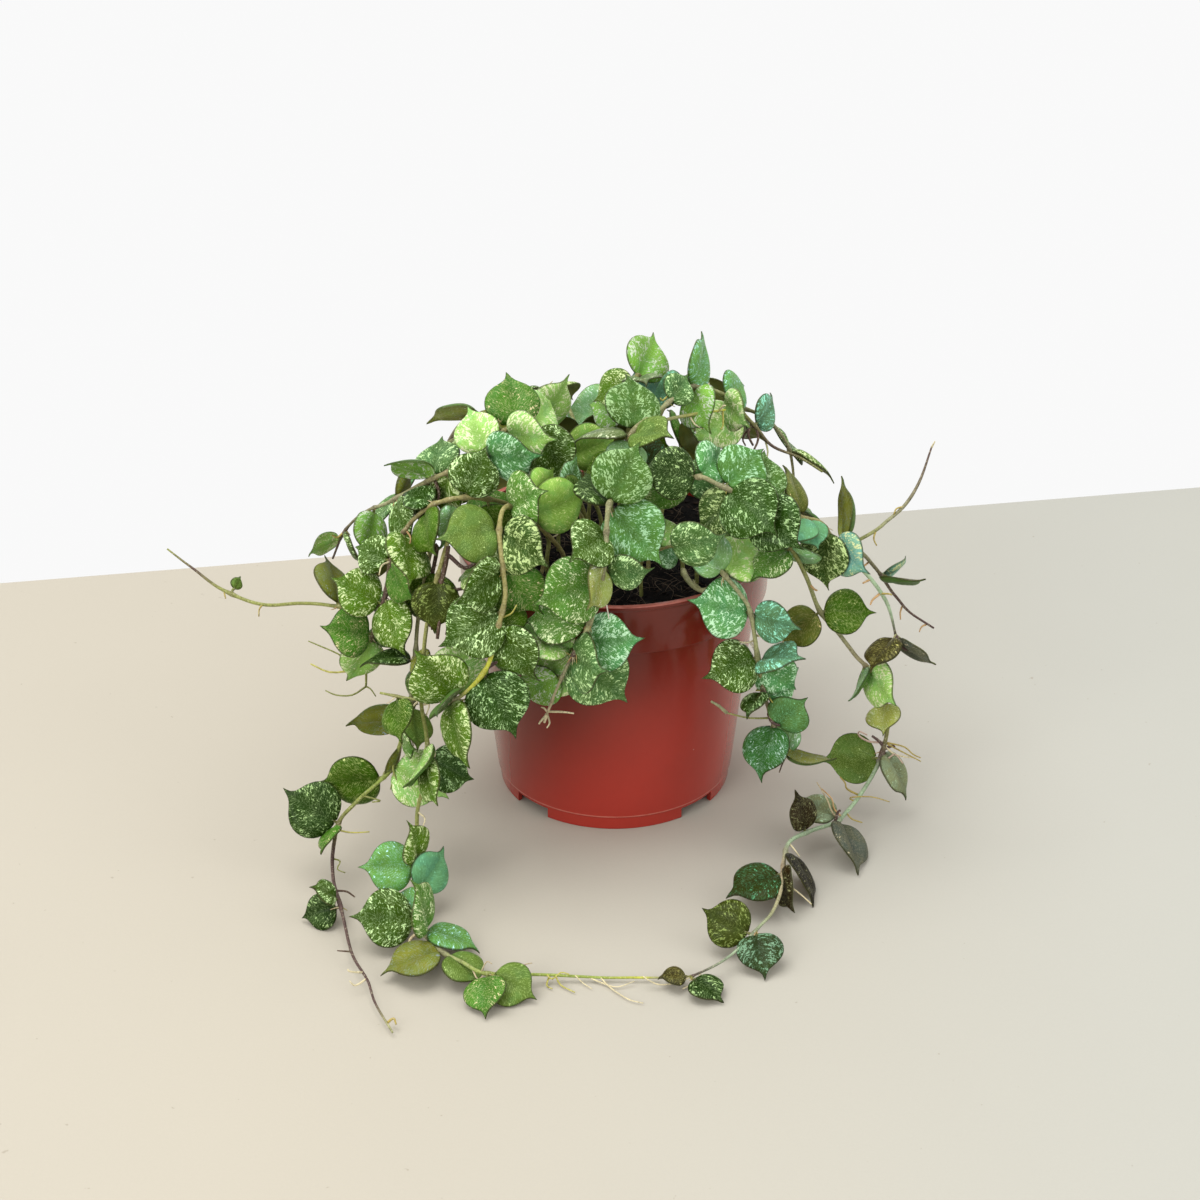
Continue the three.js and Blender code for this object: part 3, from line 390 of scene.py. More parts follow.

# each stem's tones as (stop, tone), its leaves as (stop, clock, lean, turn, length) with a look for each, and
# its roots as (tone, radius, points); a branch starts on another stem, and forward draws a stem out in front
# not all of this is chosen by hand: programs turned points read off into places and angles, and then
# moved leaves, added some and picked looks to match the outlines and tones of the photograph
# so besides each leaf's own colour the looks carry painted light and shade: leaves lying in shade were given
# darker looks, and leaves that the lamps here leave darker were given lighter ones
strands = [
    {
        "node": "vine_front_left", "radius": 1.3, "forward": 3,
        "tones": [(0, "tan"), (6.4, "tan"), (7.3, "lemon"), (8.7, "lemon"), (9.4, "pale"),
        (12, "olive")],
        "stops": [
            (-20, -30, 114), (-32, -48, 138), (-39, -56, 145), (-41, -62, 139), (-40, -68, 128),
            (-39, -72, 118), (-41, -75, 109), (-43, -77, 102), (-46, -79, 92), (-54, -80, 82),
            (-60, -80, 79), (-70, -80, 79), (-85, -78, 81),
        ],
        "leaves": [
            (3, 189, 29, 12, 24.5), (3, -39, 30, 25, 24.5), (1.8, 27, 59, -12, 24.5),
            (4.1, 224, 35, -48, 24.5), (4, -56, -8, 28, 23.5), (4, 192, -35, 52, 23.5),
            (5.6, 211, 6, 0, 26.5), (6.2, -62, -1, 38, 25), (8.2, -62, 0, 5, 27),
            (9.6, 130, 34, -12, 25.5), (9.6, 213, 63, 101, 19), (9.9, 281, 18, 60, 26.5),
            (11.6, 272, 27, 41, 18.5), (9.7, 81, -10, 10, 24), (6.8, 72, -26, -3, 20),
        ],
        "looks": (
            "lime lightCream grassFlecked midPatch grassPlain midCream midPatch midPatch "
            "darkSilver midCream paleFold midCream deepPlain yellowCream deepPlain"
        ).split(),
        "roots": [
            ("cream", 0.3, (-58, -80, 79), (-56, -84, 75), (-56, -88, 69), (-53, -90, 66)),
            ("yellow", 0.5, (-58, -80, 80), (-56, -82, 79), (-55, -84, 79)),
            ("yellow", 0.4, (-58, -80, 80), (-55, -82, 80), (-52, -82, 82)),
            ("purple", 0.7, (-47, -79, 91), (-41, -78, 95), (-37, -77, 99), (-34, -76, 101)),
            ("yellow", 0.4, (-41, -75, 110), (-37, -75, 112), (-35, -74, 115)),
        ],
    },
    {
        "node": "vine_front_centre", "radius": 1.3, "forward": 4.6,
        "tones": [(0, "olive"), (3, "grey"), (5.4, "pale"), (6.4, "grey"), (7, "purple"),
        (7.6, "grey"), (9, "beige")],
        "stops": [
            (2, -24, 114), (-1, -50, 140), (-2, -66, 151), (-3, -70, 139), (-4, -72, 128),
            (-8, -73, 110), (-12, -73, 99), (-15, -73, 94), (-20, -72, 82), (-25, -70, 67),
        ],
        "leaves": [
            (2, 65, 0, 0, 25), (2.1, 118, -35, 30, 21), (2.8, 217, 45, 0, 22), (1.6, -48, 8, 10, 28),
            (4.2, 202, 23, -7, 27), (3.8, -106, 35, -60, 21), (4, -6, 15, 40, 18),
            (5.2, 177, -10, 40, 26), (5.6, 157, -17, 45, 20), (6.8, 155, -4, 42, 25),
            (6.1, 4, 24, 0, 24), (7.8, 203, -15, -24, 20), (7, -33, 62, 30, 25), (7, -42, -12, 14, 28),
            (8.6, 88, 9, -5, 25.5),
        ],
        "looks": (
            "lightSilver darkMottled midPatch brightSilver grassFlecked oliveYellow "
            "mottled grassFlecked teal yellowCream tealFlecked midSilver mottled mottled "
            "yellowCream"
        ).split(),
        "roots": [
            ("peach", 0.65, (-10, -73, 105), (-12, -75, 106), (-14, -76, 106)),
            ("peach", 0.55, (-10, -73, 104), (-9, -76, 103), (-9, -78, 101)),
            ("cream", 0.5, (-23, -71, 73), (-26, -72, 74), (-27, -73, 75)),
            ("hair", 0.35, (-5, -73, 120), (-3, -74, 121), (-3, -77, 118), (-2, -81, 113)),
            ("cream", 0.7, (-25, -70, 67), (-26, -73, 65)),
            ("cream", 0.5, (-25, -70, 67), (-27, -73, 66), (-28, -74, 65)),
            ("cream", 0.4, (-25, -70, 67), (-24, -73, 65), (-25, -75, 64)),
            ("cream", 0.5, (-25, -70, 68), (-19, -72, 69), (-15, -73, 69)),
            ("cream", 0.4, (-25, -70, 68), (-26, -71, 70), (-27, -72, 71)),
        ],
    },
    {
        "node": "vine_right_reach", "radius": 1.2, "forward": 1.2,
        "tones": [(0, "tan"), (3, "grey"), (6, "tan"), (9, "grey"), (12, "purple"), (14, "purple")],
        "stops": [
            (13, -18, 114), (20, -40, 146), (30, -54, 156), (38, -53, 152), (50, -51, 145),
            (60, -47, 140), (69, -42, 134), (76, -38, 130), (81, -36, 123), (89, -34, 118),
            (96, -32, 111), (101, -30, 103), (107, -28, 94), (113, -26, 86), (123, -24, 78),
        ],
        "leaves": [
            (2, 172, 16, 10, 22), (2, 50, -35, 22, 19.5), (1.5, 216, -21, -52, 20),
            (3.1, 46, -17, 1, 22.5), (3.2, -44, 25, 8, 26), (4.1, 79, -24, 3, 23),
            (4.2, -54, 30, 23, 25), (3.7, 215, -1, 10, 21.5), (5.9, 101, -11, 63, 20.5),
            (6.1, -68, 36, -12, 15), (5.9, 234, 53, 25, 21.5), (8.5, 86, 0, 98, 24.5),
            (8.1, -55, 35, 47, 20.5), (7.4, 146, -49, 96, 16.5), (7.4, -92, -8, 32, 23.5),
            (10.9, 24, -31, 74, 15.5), (10.9, -12, 40, 93, 19.5), (1.4, 10, -10, -10, 18),
        ],
        "looks": (
            "darkMottled tealFlecked grassFlecked brightSilver darkSilver lightSilver "
            "darkSilver lightCream oliveDark bluishDark bluishDark olive bluish "
            "greyGreen lightCream bluish brown mottled"
        ).split(),
        "roots": [
            ("peach", 0.4, (110, -27, 89), (109, -30, 88), (109, -32, 86)),
            ("peach", 0.4, (120, -25, 80), (118, -27, 80), (117, -29, 79)),
            ("ochre", 0.4, (59, -47, 140), (61, -51, 138), (60, -53, 136)),
            ("cream", 0.35, (81, -36, 123), (78, -39, 121), (79, -41, 120)),
            ("peach", 0.4, (96, -32, 111), (93, -35, 110), (92, -37, 109)),
        ],
    },
    {
        "node": "vine_right_reach", "radius": 1, "branch": True,
        "tones": [(0, "olive"), (2, "grey"), (5, "purple")],
        "stops": [
            (88, -34, 119), (98, -28, 122), (102, -25, 124), (109, -20, 128), (115, -14, 135),
            (120, -6, 146),
        ],
        "leaves": [], "looks": [],
        "roots": [
            ("ochre", 0.4, (98, -28, 122), (97, -31, 120), (98, -33, 118)),
            ("ochre", 0.4, (109, -20, 128), (106, -22, 128), (105, -23, 126)),
            ("cream", 0.4, (120, -6, 146), (121, -7, 149)),
        ],
    },
    {
        "node": "vine_right_reach", "radius": 1.1, "branch": True,
        "tones": [(0, "tan"), (2, "mint"), (4, "mint"), (5, "purple")],
        "stops": [
            (81, -36, 123), (86, -42, 118), (92, -43, 113), (99, -43, 104), (103, -43, 96),
            (106, -43, 85),
        ],
        "leaves": [
            (5, -42, 2, 79, 18.5), (5, 224, 29, 62, 19),
        ],
        "looks": (
            "greyBrown brown"
        ).split(),
        "roots": [
            ("pale", 0.45, (106, -43, 86), (103, -47, 82), (100, -49, 80)),
            ("peach", 0.5, (95, -43, 109), (92, -46, 109)),
            ("peach", 0.5, (99, -43, 103), (96, -46, 102), (95, -48, 101)),
            ("ochre", 0.45, (99, -43, 103), (102, -45, 104), (103, -46, 104)),
            ("purple", 0.9, (106, -43, 85), (107, -46, 83), (110, -47, 81)),
        ],
    },
    {
        "node": "vine_right_front", "radius": 1.2, "forward": 1.6,
        "tones": [(0, "olive"), (3, "grey"), (4.6, "pale"), (5.4, "olive"), (6.4, "purple"),
        (7.4, "pale"), (8, "purple"), (9, "olive"), (10, "mint")],
        "stops": [
            (31, -32, 114), (35, -44, 118), (40, -55, 117), (46, -57, 110), (50, -57, 102),
            (53, -57, 84), (55, -57, 72), (58, -58, 61), (61, -59, 53), (64, -60, 45), (70, -60, 40),
        ],
        "leaves": [
            (2, 49, -30, 0, 24), (2, 126, 15, 24, 20.5), (4, 167, 24, 12, 25.5), (4, -18, 22, 34, 20),
            (5.2, 16, 49, -65, 22), (5, 202, 24, 0, 23), (6.2, 24, -39, 22, 23), (6.2, 230, 40, 60, 15),
            (7.8, 46, 39, 8, 19.5), (7.6, 250, 18, 39, 23), (8.9, -20, 20, 103, 21),
            (5.2, -37, -17, 20, 20), (9.6, 120, -15, 12, 17),
        ],
        "looks": (
            "yellowCream mintPale tealFlecked tealPale tealPale midPatch tealFlecked "
            "darkSilver mint tealDeep olive tealFlecked mintPale"
        ).split(),
        "roots": [
            ("hair", 0.5, (52, -57, 87), (50, -57, 90), (47, -58, 90), (44, -60, 89)),
            ("yellow", 0.4, (55, -57, 70), (53, -58, 70), (56, -59, 70), (59, -62, 67)),
            ("grey", 0.7, (42, -61, 62), (39, -61, 65), (36, -61, 67)),
            ("olive", 0.45, (59, -58, 58), (54, -60, 59), (49, -61, 60), (42, -61, 62)),
            ("brown", 0.4, (63, -60, 47), (64, -64, 44), (63, -66, 42), (62, -68, 40)),
            ("stalk", 0.6, (65, -60, 43), (70, -65, 43)),
            ("purple", 0.8, (58, -58, 60), (59, -61, 58), (62, -62, 57)),
            ("purple", 0.7, (64, -60, 44), (66, -62, 44), (69, -63, 44)),
            ("cream", 0.4, (52, -57, 91), (49, -59, 91), (46, -60, 92)),
            ("cream", 0.45, (52, -57, 93), (55, -58, 93), (58, -59, 93), (61, -60, 93), (62, -62, 93)),
        ],
    },
    {
        "node": "vine_top_right", "radius": 1.2, "forward": 1,
        "tones": [(0, "olive"), (4, "grey"), (7, "olive"), (9, "purple"), (11, "olive")],
        "stops": [
            (6, -2, 114), (4, -16, 140), (6, -28, 161), (18, -14, 166), (26, 0, 167), (32, 8, 165),
            (41, 15, 159), (49, 20, 150), (56, 22, 141), (62, 22, 134), (73, 22, 129), (82, 22, 123),
        ],
        "leaves": [
            (2.1, 92, -16, 20, 24.5), (2, 3, 48, -48, 20.5), (1.9, -103, 40, 0, 18),
            (2.2, 47, -72, 0, 16), (2, 178, 0, 80, 22), (3.2, 54, -22, 18, 16), (4, 173, -45, 12, 18),
            (4.4, 69, -19, 65, 24.5), (4.7, -78, 35, 42, 21.5), (6.1, 32, -49, 12, 19),
            (6.1, -59, 40, 57, 20), (7, 211, 12, 15, 23.5), (7.8, 53, -30, 48, 18.5),
            (1.2, 10, -20, 10, 22), (1.1, 190, -20, 10, 20),
        ],
        "looks": (
            "lightSilver lime mintPale mottled paleFold mottled tealPale teal midSilver "
            "teal yellowCream yellowCream tealPale tealDark deepPlain"
        ).split(),
        "roots": [
            ("yellow", 0.5, (22, -7, 167), (21, -8, 169), (18, -10, 167), (17, -10, 168)),
            ("yellow", 0.4, (23, -6, 167), (20, -9, 166), (18, -11, 164)),
            ("cream", 0.4, (33, 9, 165), (35, 7, 166), (36, 7, 167)),
            ("olive", 0.4, (43, 16, 157), (43, 12, 154), (41, 10, 153)),
            ("brown", 0.7, (54, 22, 144), (52, 18, 141), (54, 16, 137)),
            ("brown", 0.6, (55, 22, 143), (56, 18, 139), (54, 15, 135)),
            ("brown", 0.5, (55, 22, 143), (52, 20, 142), (50, 18, 139), (51, 16, 137)),
            ("pale", 0.45, (59, 22, 137), (60, 19, 133), (59, 16, 130)),
        ],
    },
    {
        "node": "vine_top_right", "radius": 1, "branch": True, "forward": 1,
        "tones": [(0, "olive"), (2, "pale"), (4, "lemon")],
        "stops": [
            (7, -26, 161), (11, -20, 160), (19, -10, 159), (31, -4, 159), (42, 2, 158),
        ],
        "leaves": [], "looks": [],
        "roots": [
            ("cream", 0.4, (28, -5, 159), (30, -9, 157), (32, -10, 156)),
            ("yellow", 0.45, (32, -3, 159), (33, -7, 156), (33, -9, 155)),
            ("cream", 0.4, (39, 0, 158), (41, -1, 161), (42, -1, 161)),
            ("yellow", 0.4, (41, 1, 158), (41, -3, 154), (40, -5, 153)),
        ],
    },
    {
        "node": "vine_top_back", "radius": 1.2,
        "tones": [(0, "olive"), (9, "purple")],
        "stops": [
            (2, 12, 114), (5, 14, 140), (8, 8, 168), (11, 20, 162), (12, 36, 152), (8, 56, 138),
            (2, 72, 122), (-2, 79, 100), (-3, 80, 80), (-3, 80, 62),
        ],
        "leaves": [
            (2.2, 203, -17, 20, 20), (2.2, 68, -25, 30, 23), (2.2, -17, 78, -65, 17.6),
            (1.5, 168, -28, 10, 21), (1.6, 40, -29, 20, 21.5), (5.6, 177, 11, -2, 27),
            (1, -10, -10, 10, 18.5), (7.6, 260, 0, 10, 23.5),
        ],
        "looks": (
            "midCream midSilver paleFold midSilver bluish mintPale deepPlain lightPlain"
        ).split(),
        "roots": [
            ("cream", 0.4, (5, 14, 140), (1, 12, 139), (1, 10, 136)),
            ("cream", 0.35, (-2, 79, 100), (-6, 77, 99), (-6, 74, 96)),
        ],
    },
    {
        "node": "vine_left_arch", "radius": 1.2, "forward": 1.4,
        "tones": [(0, "olive"), (4, "tan"), (8, "grey"), (11, "purple")],
        "stops": [
            (-10, -8, 114), (-18, -16, 140), (-30, -26, 163), (-40, -34, 165), (-47, -40, 158),
            (-57, -40, 153), (-66, -38, 148), (-74, -34, 142), (-85, -28, 133), (-93, -24, 128),
            (-102, -20, 118), (-108, -16, 104),
        ],
        "leaves": [
            (2.6, 98, -10, 10, 23), (2.1, 55, -47, 30, 22), (3.1, 104, -49, 35, 18),
            (3, -15, 35, 30, 22), (4, 109, -7, -12, 20), (4, -5, 34, 35, 23.5), (2, -56, 3, 28, 25),
            (6, 85, -35, -26, 21), (6, 157, 29, 115, 20.5), (7.7, 57, -49, 63, 18),
            (5.4, -101, -29, 36, 19.5), (7.6, -76, 35, 53, 22), (8.6, -97, 17, -48, 19.5),
            (6.3, -96, -18, 53, 21), (10.2, 205, 17, 118, 15.5), (10, -67, 26, 84, 16),
        ],
        "looks": (
            "grassPlain yellowCream olive yellowCream yellowCream tealFlecked midPatch "
            "mottled midSilver olive midCream midPatch midSilver midPatch yellowCream "
            "midPatch"
        ).split(),
        "roots": [
            ("cream", 0.4, (-56, -40, 153), (-59, -43, 153), (-60, -45, 151)),
            ("yellow", 0.4, (-54, -40, 155), (-54, -43, 153), (-52, -45, 152)),
            ("brown", 0.7, (-66, -38, 148), (-64, -42, 144), (-65, -45, 140)),
            ("cream", 0.4, (-74, -34, 142), (-76, -37, 140), (-75, -40, 138)),
            ("cream", 0.35, (-47, -40, 158), (-49, -43, 156), (-48, -45, 154)),
            ("ochre", 0.5, (-102, -20, 118), (-105, -22, 116), (-107, -22, 117)),
        ],
    },
    {
        "node": "vine_left_cluster", "radius": 1.2,
        "tones": [(0, "olive"), (3, "tan"), (7, "purple"), (10, "olive")],
        "stops": [
            (-26, -16, 114), (-38, -32, 134), (-52, -48, 145), (-64, -50, 144), (-71, -50, 139),
            (-76, -50, 133), (-82, -50, 120), (-85, -50, 105), (-90, -50, 91), (-93, -50, 78),
            (-94, -50, 67),
        ],
        "leaves": [
            (6, 157, -26, 0, 18), (5.1, -77, 37, -55, 24.5), (6, -64, 35, 55, 21),
            (7, -74, 16, 38, 23.5), (7.2, 150, 20, 25, 22), (8.1, 172, 39, 10, 22),
            (8.2, -118, -16, -42, 21), (3.6, -84, 39, 53, 21.5), (3.1, 158, -26, 38, 16),
            (2.6, -97, 1, -60, 18.5), (6.8, 194, -82, 45, 19.5), (7.8, -51, -40, 43, 18),
            (2.2, 66, 18, 8, 21.5), (1.6, -80, -34, -10, 20),
        ],
        "looks": (
            "midPatch midCream grassPlain midCream midCream grassPlain yellowCream "
            "deepPlain darkSilver mintPale mottled mottled midPatch deepPlain"
        ).split(),
        "roots": [
            ("yellow", 0.5, (-93, -50, 75), (-99, -52, 75), (-107, -53, 75), (-114, -52, 78)),
            ("olive", 0.4, (-102, -50, 74), (-102, -49, 78), (-104, -48, 80), (-111, -47, 83),
             (-115, -47, 85)),
            ("olive", 0.4, (-94, -50, 67), (-99, -53, 65), (-105, -53, 65), (-109, -53, 67)),
            ("olive", 0.35, (-94, -50, 67), (-92, -52, 67), (-90, -54, 65)),
            ("cream", 0.4, (-33, -26, 127), (-35, -28, 125), (-38, -29, 127), (-41, -29, 128)),
            ("cream", 0.35, (-25, -15, 112), (-22, -16, 114), (-21, -16, 116)),
            ("peach", 0.4, (-76, -50, 133), (-74, -53, 131), (-75, -56, 128)),
            ("cream", 0.4, (-82, -50, 120), (-85, -53, 120), (-86, -55, 117)),
        ],
    },
    {
        "node": "vine_left_cluster", "radius": 1, "branch": True,
        "tones": [(0, "purple"), (1, "olive"), (5, "olive"), (6, "purple"), (7, "olive")],
        "stops": [
            (-85, -50, 105), (-95, -44, 99), (-104, -38, 95), (-120, -28, 91), (-136, -20, 86),
            (-152, -12, 88), (-164, -6, 94), (-175, 0, 100),
        ],
        "leaves": [
            (2, 104, -29, 60, 23.5), (4.8, 64, -18, 44, 8),
        ],
        "looks": (
            "olive lime"
        ).split(),
        "roots": [
            ("cream", 0.4, (-104, -38, 95), (-103, -41, 93), (-101, -42, 92)),
            ("ochre", 0.4, (-136, -20, 86), (-137, -22, 85), (-137, -24, 83)),
            ("ochre", 0.35, (-152, -12, 88), (-151, -15, 86)),
        ],
    },
    {
        "node": "vine_top_left", "radius": 1.2,
        "tones": [(0, "olive"), (4, "grey"), (7, "purple"), (10, "olive")],
        "stops": [
            (-6, 3, 114), (-16, -2, 138), (-30, -4, 152), (-42, -2, 157), (-50, 1, 157), (-58, 10, 150),
            (-65, 22, 136), (-71, 34, 118), (-75, 42, 98), (-77, 46, 80), (-78, 48, 60),
        ],
        "leaves": [
            (2.1, 52, 8, 54, 25), (4, 182, -18, 101, 23), (2.2, -58, -44, 50, 21), (2, 150, -20, 30, 20),
            (1.2, 20, 0, 20, 22), (7.7, 44, -6, 12, 25.5),
        ],
        "looks": (
            "yellowCream oliveYellow deepPlain mottled lightPlain midPatch"
        ).split(),
        "roots": [
            ("purple", 0.6, (-71, 34, 117), (-68, 31, 113), (-69, 28, 108)),
        ],
    },
    {
        "node": "vine_mid_left", "radius": 1.1,
        "tones": [(0, "olive"), (3, "tan")],
        "stops": [
            (-9, -18, 114), (-14, -40, 136), (-22, -56, 146), (-30, -62, 145),
        ],
        "leaves": [
            (3, 19, -13, 25, 24), (2.9, 66, -30, 50, 22.5), (1.7, 71, -15, 60, 21), (2, 33, -35, 40, 18),
            (1, 163, -10, 20, 20),
        ],
        "looks": (
            "lightPlain lightPlain brightSilver deepPlain deepPlain"
        ).split(),
    },
    {
        "node": "vine_mid_right", "radius": 1.1,
        "tones": [(0, "olive"), (2, "tan")],
        "stops": [
            (10, -38, 114), (14, -54, 126), (19, -64, 133),
        ],
        "leaves": [
            (2, 6, 20, 35, 22), (1.5, 103, -43, 20, 22), (1.2, 160, -20, 40, 18), (0.8, 30, -47, 20, 20),
        ],
        "looks": (
            "mottled yellowCream mottled tealFlecked"
        ).split(),
        "roots": [
            ("pale", 1.2, (26, -26, 104), (27, -36, 106), (29, -44, 107), (32, -50, 108), (35, -50, 109),
             (37, -51, 112), (39, -51, 114)),
            ("pale", 0.5, (32, -49, 108), (30, -49, 110), (29, -49, 112)),
        ],
    },
    {
        "node": "vine_left_trail", "radius": 1.1,
        "tones": [(0, "tan"), (5, "grey"), (7, "olive"), (9, "lime"), (10.4, "olive"),
        (12, "purple"), (17, "purple"), (18, "pale")],
        "stops": [
            (-32, -26, 114), (-48, -38, 130), (-64, -44, 134), (-68, -50, 121), (-72, -56, 103),
            (-74, -60, 84), (-76, -63, 67), (-79, -65, 56), (-84, -68, 42), (-88, -70, 38),
            (-97, -74, 31), (-104, -77, 23), (-106, -82, 14), (-105, -93, 9), (-100, -111, 8),
            (-94, -133, 5), (-87, -148, 5), (-83, -160, 4), (-76, -173, 2),
        ],
        "leaves": [
            (6.6, 175, 15, 128, 23), (6, -75, 25, -55, 19), (5.7, -114, -73, 62, 22),
            (7.1, -42, 63, 50, 15), (4.8, -61, 41, 30, 14), (8.8, 189, -3, -33, 25.5),
            (8.8, 60, -18, 84, 17), (11, 147, 15, 10, 24.5), (11, 235, 44, 72, 15),
            (13.9, 195, -7, 10, 16.2), (13.7, 138, 38, 65, 14), (3.2, -84, -9, 22, 25),
            (5, 178, -2, 74, 20.5), (7.9, 331, -1, -15, 25), (0.6, 115, -25, 30, 24),
        ],
        "looks": (
            "olive lime deepPlain grassFlecked olive deepPlain olive darkMottled "
            "grassPlain darkMottled midPatch deepPlain darkMottled yellowCream grassPlain"
        ).split(),
        "roots": [
            ("olive", 0.45, (-83, -67, 46), (-83, -71, 43), (-81, -74, 39)),
            ("olive", 0.35, (-83, -67, 46), (-83, -72, 40), (-84, -75, 37)),
            ("olive", 0.4, (-95, -73, 33), (-88, -75, 32), (-91, -76, 32)),
            ("yellow", 0.4, (-105, -78, 21), (-99, -80, 21), (-92, -81, 22)),
            ("olive", 0.35, (-106, -84, 12), (-103, -86, 12), (-104, -88, 10), (-101, -89, 9)),
            ("brown", 0.5, (-103, -99, 8), (-99, -101, 9), (-96, -103, 8)),
            ("brown", 0.4, (-94, -132, 5), (-99, -134, 7)),
            ("ochre", 0.5, (-78, -169, 3), (-76, -168, 4), (-75, -170, 3)),
            ("cream", 0.45, (-89, -144, 5), (-93, -146, 7), (-94, -146, 8)),
            ("cream", 0.4, (-87, -147, 5), (-91, -150, 4), (-93, -150, 6)),
            ("brown", 0.9, (-67, -49, 125), (-65, -48, 125), (-67, -52, 115), (-68, -56, 107),
             (-67, -60, 97)),
            ("brown", 0.6, (-71, -55, 106), (-69, -56, 102), (-68, -58, 97)),
            ("ochre", 0.4, (-76, -63, 67), (-79, -66, 65), (-78, -68, 63)),
            ("cream", 0.4, (-79, -65, 56), (-76, -68, 55), (-75, -70, 53)),
        ],
    },
    {
        "node": "vine_front_trail", "radius": 1.1,
        "tones": [(0, "tan"), (6, "olive"), (10, "olive"), (13, "grey"), (15, "lime"),
        (18, "lime"), (19, "lemon"), (20, "pale")],
        "stops": [
            (-28, -34, 114), (-44, -50, 132), (-57, -58, 137), (-63, -64, 124), (-67, -68, 110),
            (-70, -71, 90), (-71, -74, 75), (-69, -78, 58), (-70, -82, 46), (-73, -87, 35),
            (-73, -94, 23), (-73, -104, 14), (-72, -118, 9), (-64, -133, 8), (-54, -142, 8),
            (-46, -148, 8), (-34, -145, 5), (-19, -143, 3), (-5, -143, 2), (9, -143, 2), (16, -143, 2),
        ],
        "leaves": [
            (7.4, -79, 40, 60, 21), (7.4, -26, -21, -28, 21), (7, 252, 44, -105, 22),
            (10.4, 92, 30, 60, 19), (10.5, 177, 15, 12, 21.5), (11.2, 54, -19, 33, 20),
            (12, 174, 18, 25, 24.5), (12, 150, -47, 20, 20.5), (12.4, -13, 5, -72, 21.5),
            (13.3, 192, 14, 64, 23.5), (13.4, -33, 28, -55, 19), (15.1, 268, 48, 22, 18.5),
            (15.2, -24, 21, -21, 19), (3.2, -94, 1, 0, 20.5), (12.5, 93, 31, 77, 24.5),
        ],
        "looks": (
            "midCream darkSilver yellowCream midCream teal bluishDark midPatch teal "
            "teal olive lime grassPlain lime oliveMottled grassFlecked"
        ).split(),
        "roots": [
            ("cream", 0.4, (-71, -74, 73), (-68, -75, 74), (-69, -78, 71)),
            ("hair", 0.5, (-73, -105, 13), (-70, -107, 13), (-68, -107, 14), (-68, -107, 16)),
            ("beige", 0.7, (-69, -124, 8), (-73, -126, 7), (-74, -128, 5), (-72, -129, 5)),
            ("cream", 0.4, (-67, -129, 8), (-70, -131, 6), (-68, -132, 5), (-65, -134, 5)),
            ("beige", 0.35, (-50, -146, 8), (-48, -149, 6), (-45, -148, 8)),
            ("beige", 0.3, (-47, -148, 8), (-45, -147, 12), (-43, -148, 12)),
            ("beige", 0.3, (-35, -145, 5), (-32, -145, 9), (-29, -145, 10)),
            ("yellow", 0.35, (-24, -144, 4), (-22, -145, 3), (-19, -144, 5), (-16, -145, 5)),
            ("yellow", 0.35, (-23, -143, 3), (-24, -146, 1), (-22, -148, 1)),
            ("yellow", 0.35, (-21, -143, 3), (-19, -146, 1), (-14, -150, 1)),
            ("cream", 0.3, (-9, -143, 2), (-4, -145, 1), (1, -147, 1), (7, -145, 2)),
            ("cream", 0.3, (-5, -143, 2), (-1, -148, 1), (5, -154, 1), (10, -156, 1)),
            ("cream", 0.25, (-14, -143, 3), (-11, -145, 1), (-8, -148, 1)),
            ("brown", 1.1, (-60, -61, 132), (-61, -63, 125), (-63, -67, 117), (-63, -71, 109),
             (-64, -74, 101)),
            ("purple", 0.9, (-61, -62, 129), (-59, -62, 128), (-54, -63, 124), (-48, -61, 126),
             (-42, -61, 124)),
            ("purple", 0.8, (-64, -65, 121), (-59, -66, 117), (-52, -65, 117), (-48, -65, 115)),
            ("brown", 0.7, (-65, -66, 116), (-61, -67, 112), (-60, -69, 107), (-61, -71, 101)),
            ("cream", 0.4, (-71, -74, 76), (-74, -77, 74), (-75, -79, 72)),
            ("cream", 0.35, (-69, -78, 58), (-66, -81, 57), (-67, -83, 54)),
            ("cream", 0.4, (-73, -87, 35), (-70, -90, 34), (-71, -92, 31)),
            ("cream", 0.35, (-73, -94, 23), (-75, -97, 22), (-74, -99, 20)),
        ],
    },
    {
        "node": "vine_right_ring", "radius": 1.2, "forward": 1.4,
        "tones": [(0, "olive"), (3, "olive"), (6, "grey"), (7.6, "beige"), (8.4, "grey"),
        (10, "olive"), (10.8, "purple"), (11.3, "mint"), (14.6, "mint"), (16, "mint"),
        (17, "beige"), (19, "grey"), (21, "mint"), (23, "purple")],
        "stops": [
            (26, -22, 114), (45, -38, 128), (60, -50, 132), (65, -48, 124), (71, -45, 111),
            (77, -42, 95), (85, -40, 84), (92, -37, 73), (98, -34, 65), (103, -32, 56), (107, -30, 38),
            (104, -35, 24), (97, -43, 15), (90, -53, 12), (85, -60, 12), (76, -65, 12), (66, -75, 13),
            (63, -90, 13), (61, -105, 12), (57, -117, 11), (52, -124, 10), (45, -133, 8), (37, -140, 6),
            (27, -145, 4),
        ],
        "leaves": [
            (2.6, -40, -35, 64, 19), (5, 0, 10, -24, 21), (5, 219, -6, 32, 20), (7.8, -59, 45, 52, 22.5),
            (7.7, 250, 30, -92, 17.5), (9.4, -95, 45, 24, 16.5), (10.9, 182, -18, 162, 24),
            (10.7, -56, 0, -59, 22), (13.7, 152, -12, 50, 19), (15.3, 100, 15, 42, 17.5),
            (13.8, -64, 37, -64, 24.5), (16.4, -56, 28, -82, 23.5), (17.3, 196, 19, 54, 23.5),
            (17, -87, 39, 72, 20), (20.4, 154, -9, 12, 20.5), (20.2, -78, 43, -4, 19.5),
            (23, -31, 38, -50, 16), (23, 175, 10, 60, 12), (2.9, 214, 13, 44, 19),
        ],
        "looks": (
            "mintPale deepPlain oliveDark yellowCream mintPale oliveYellow lime "
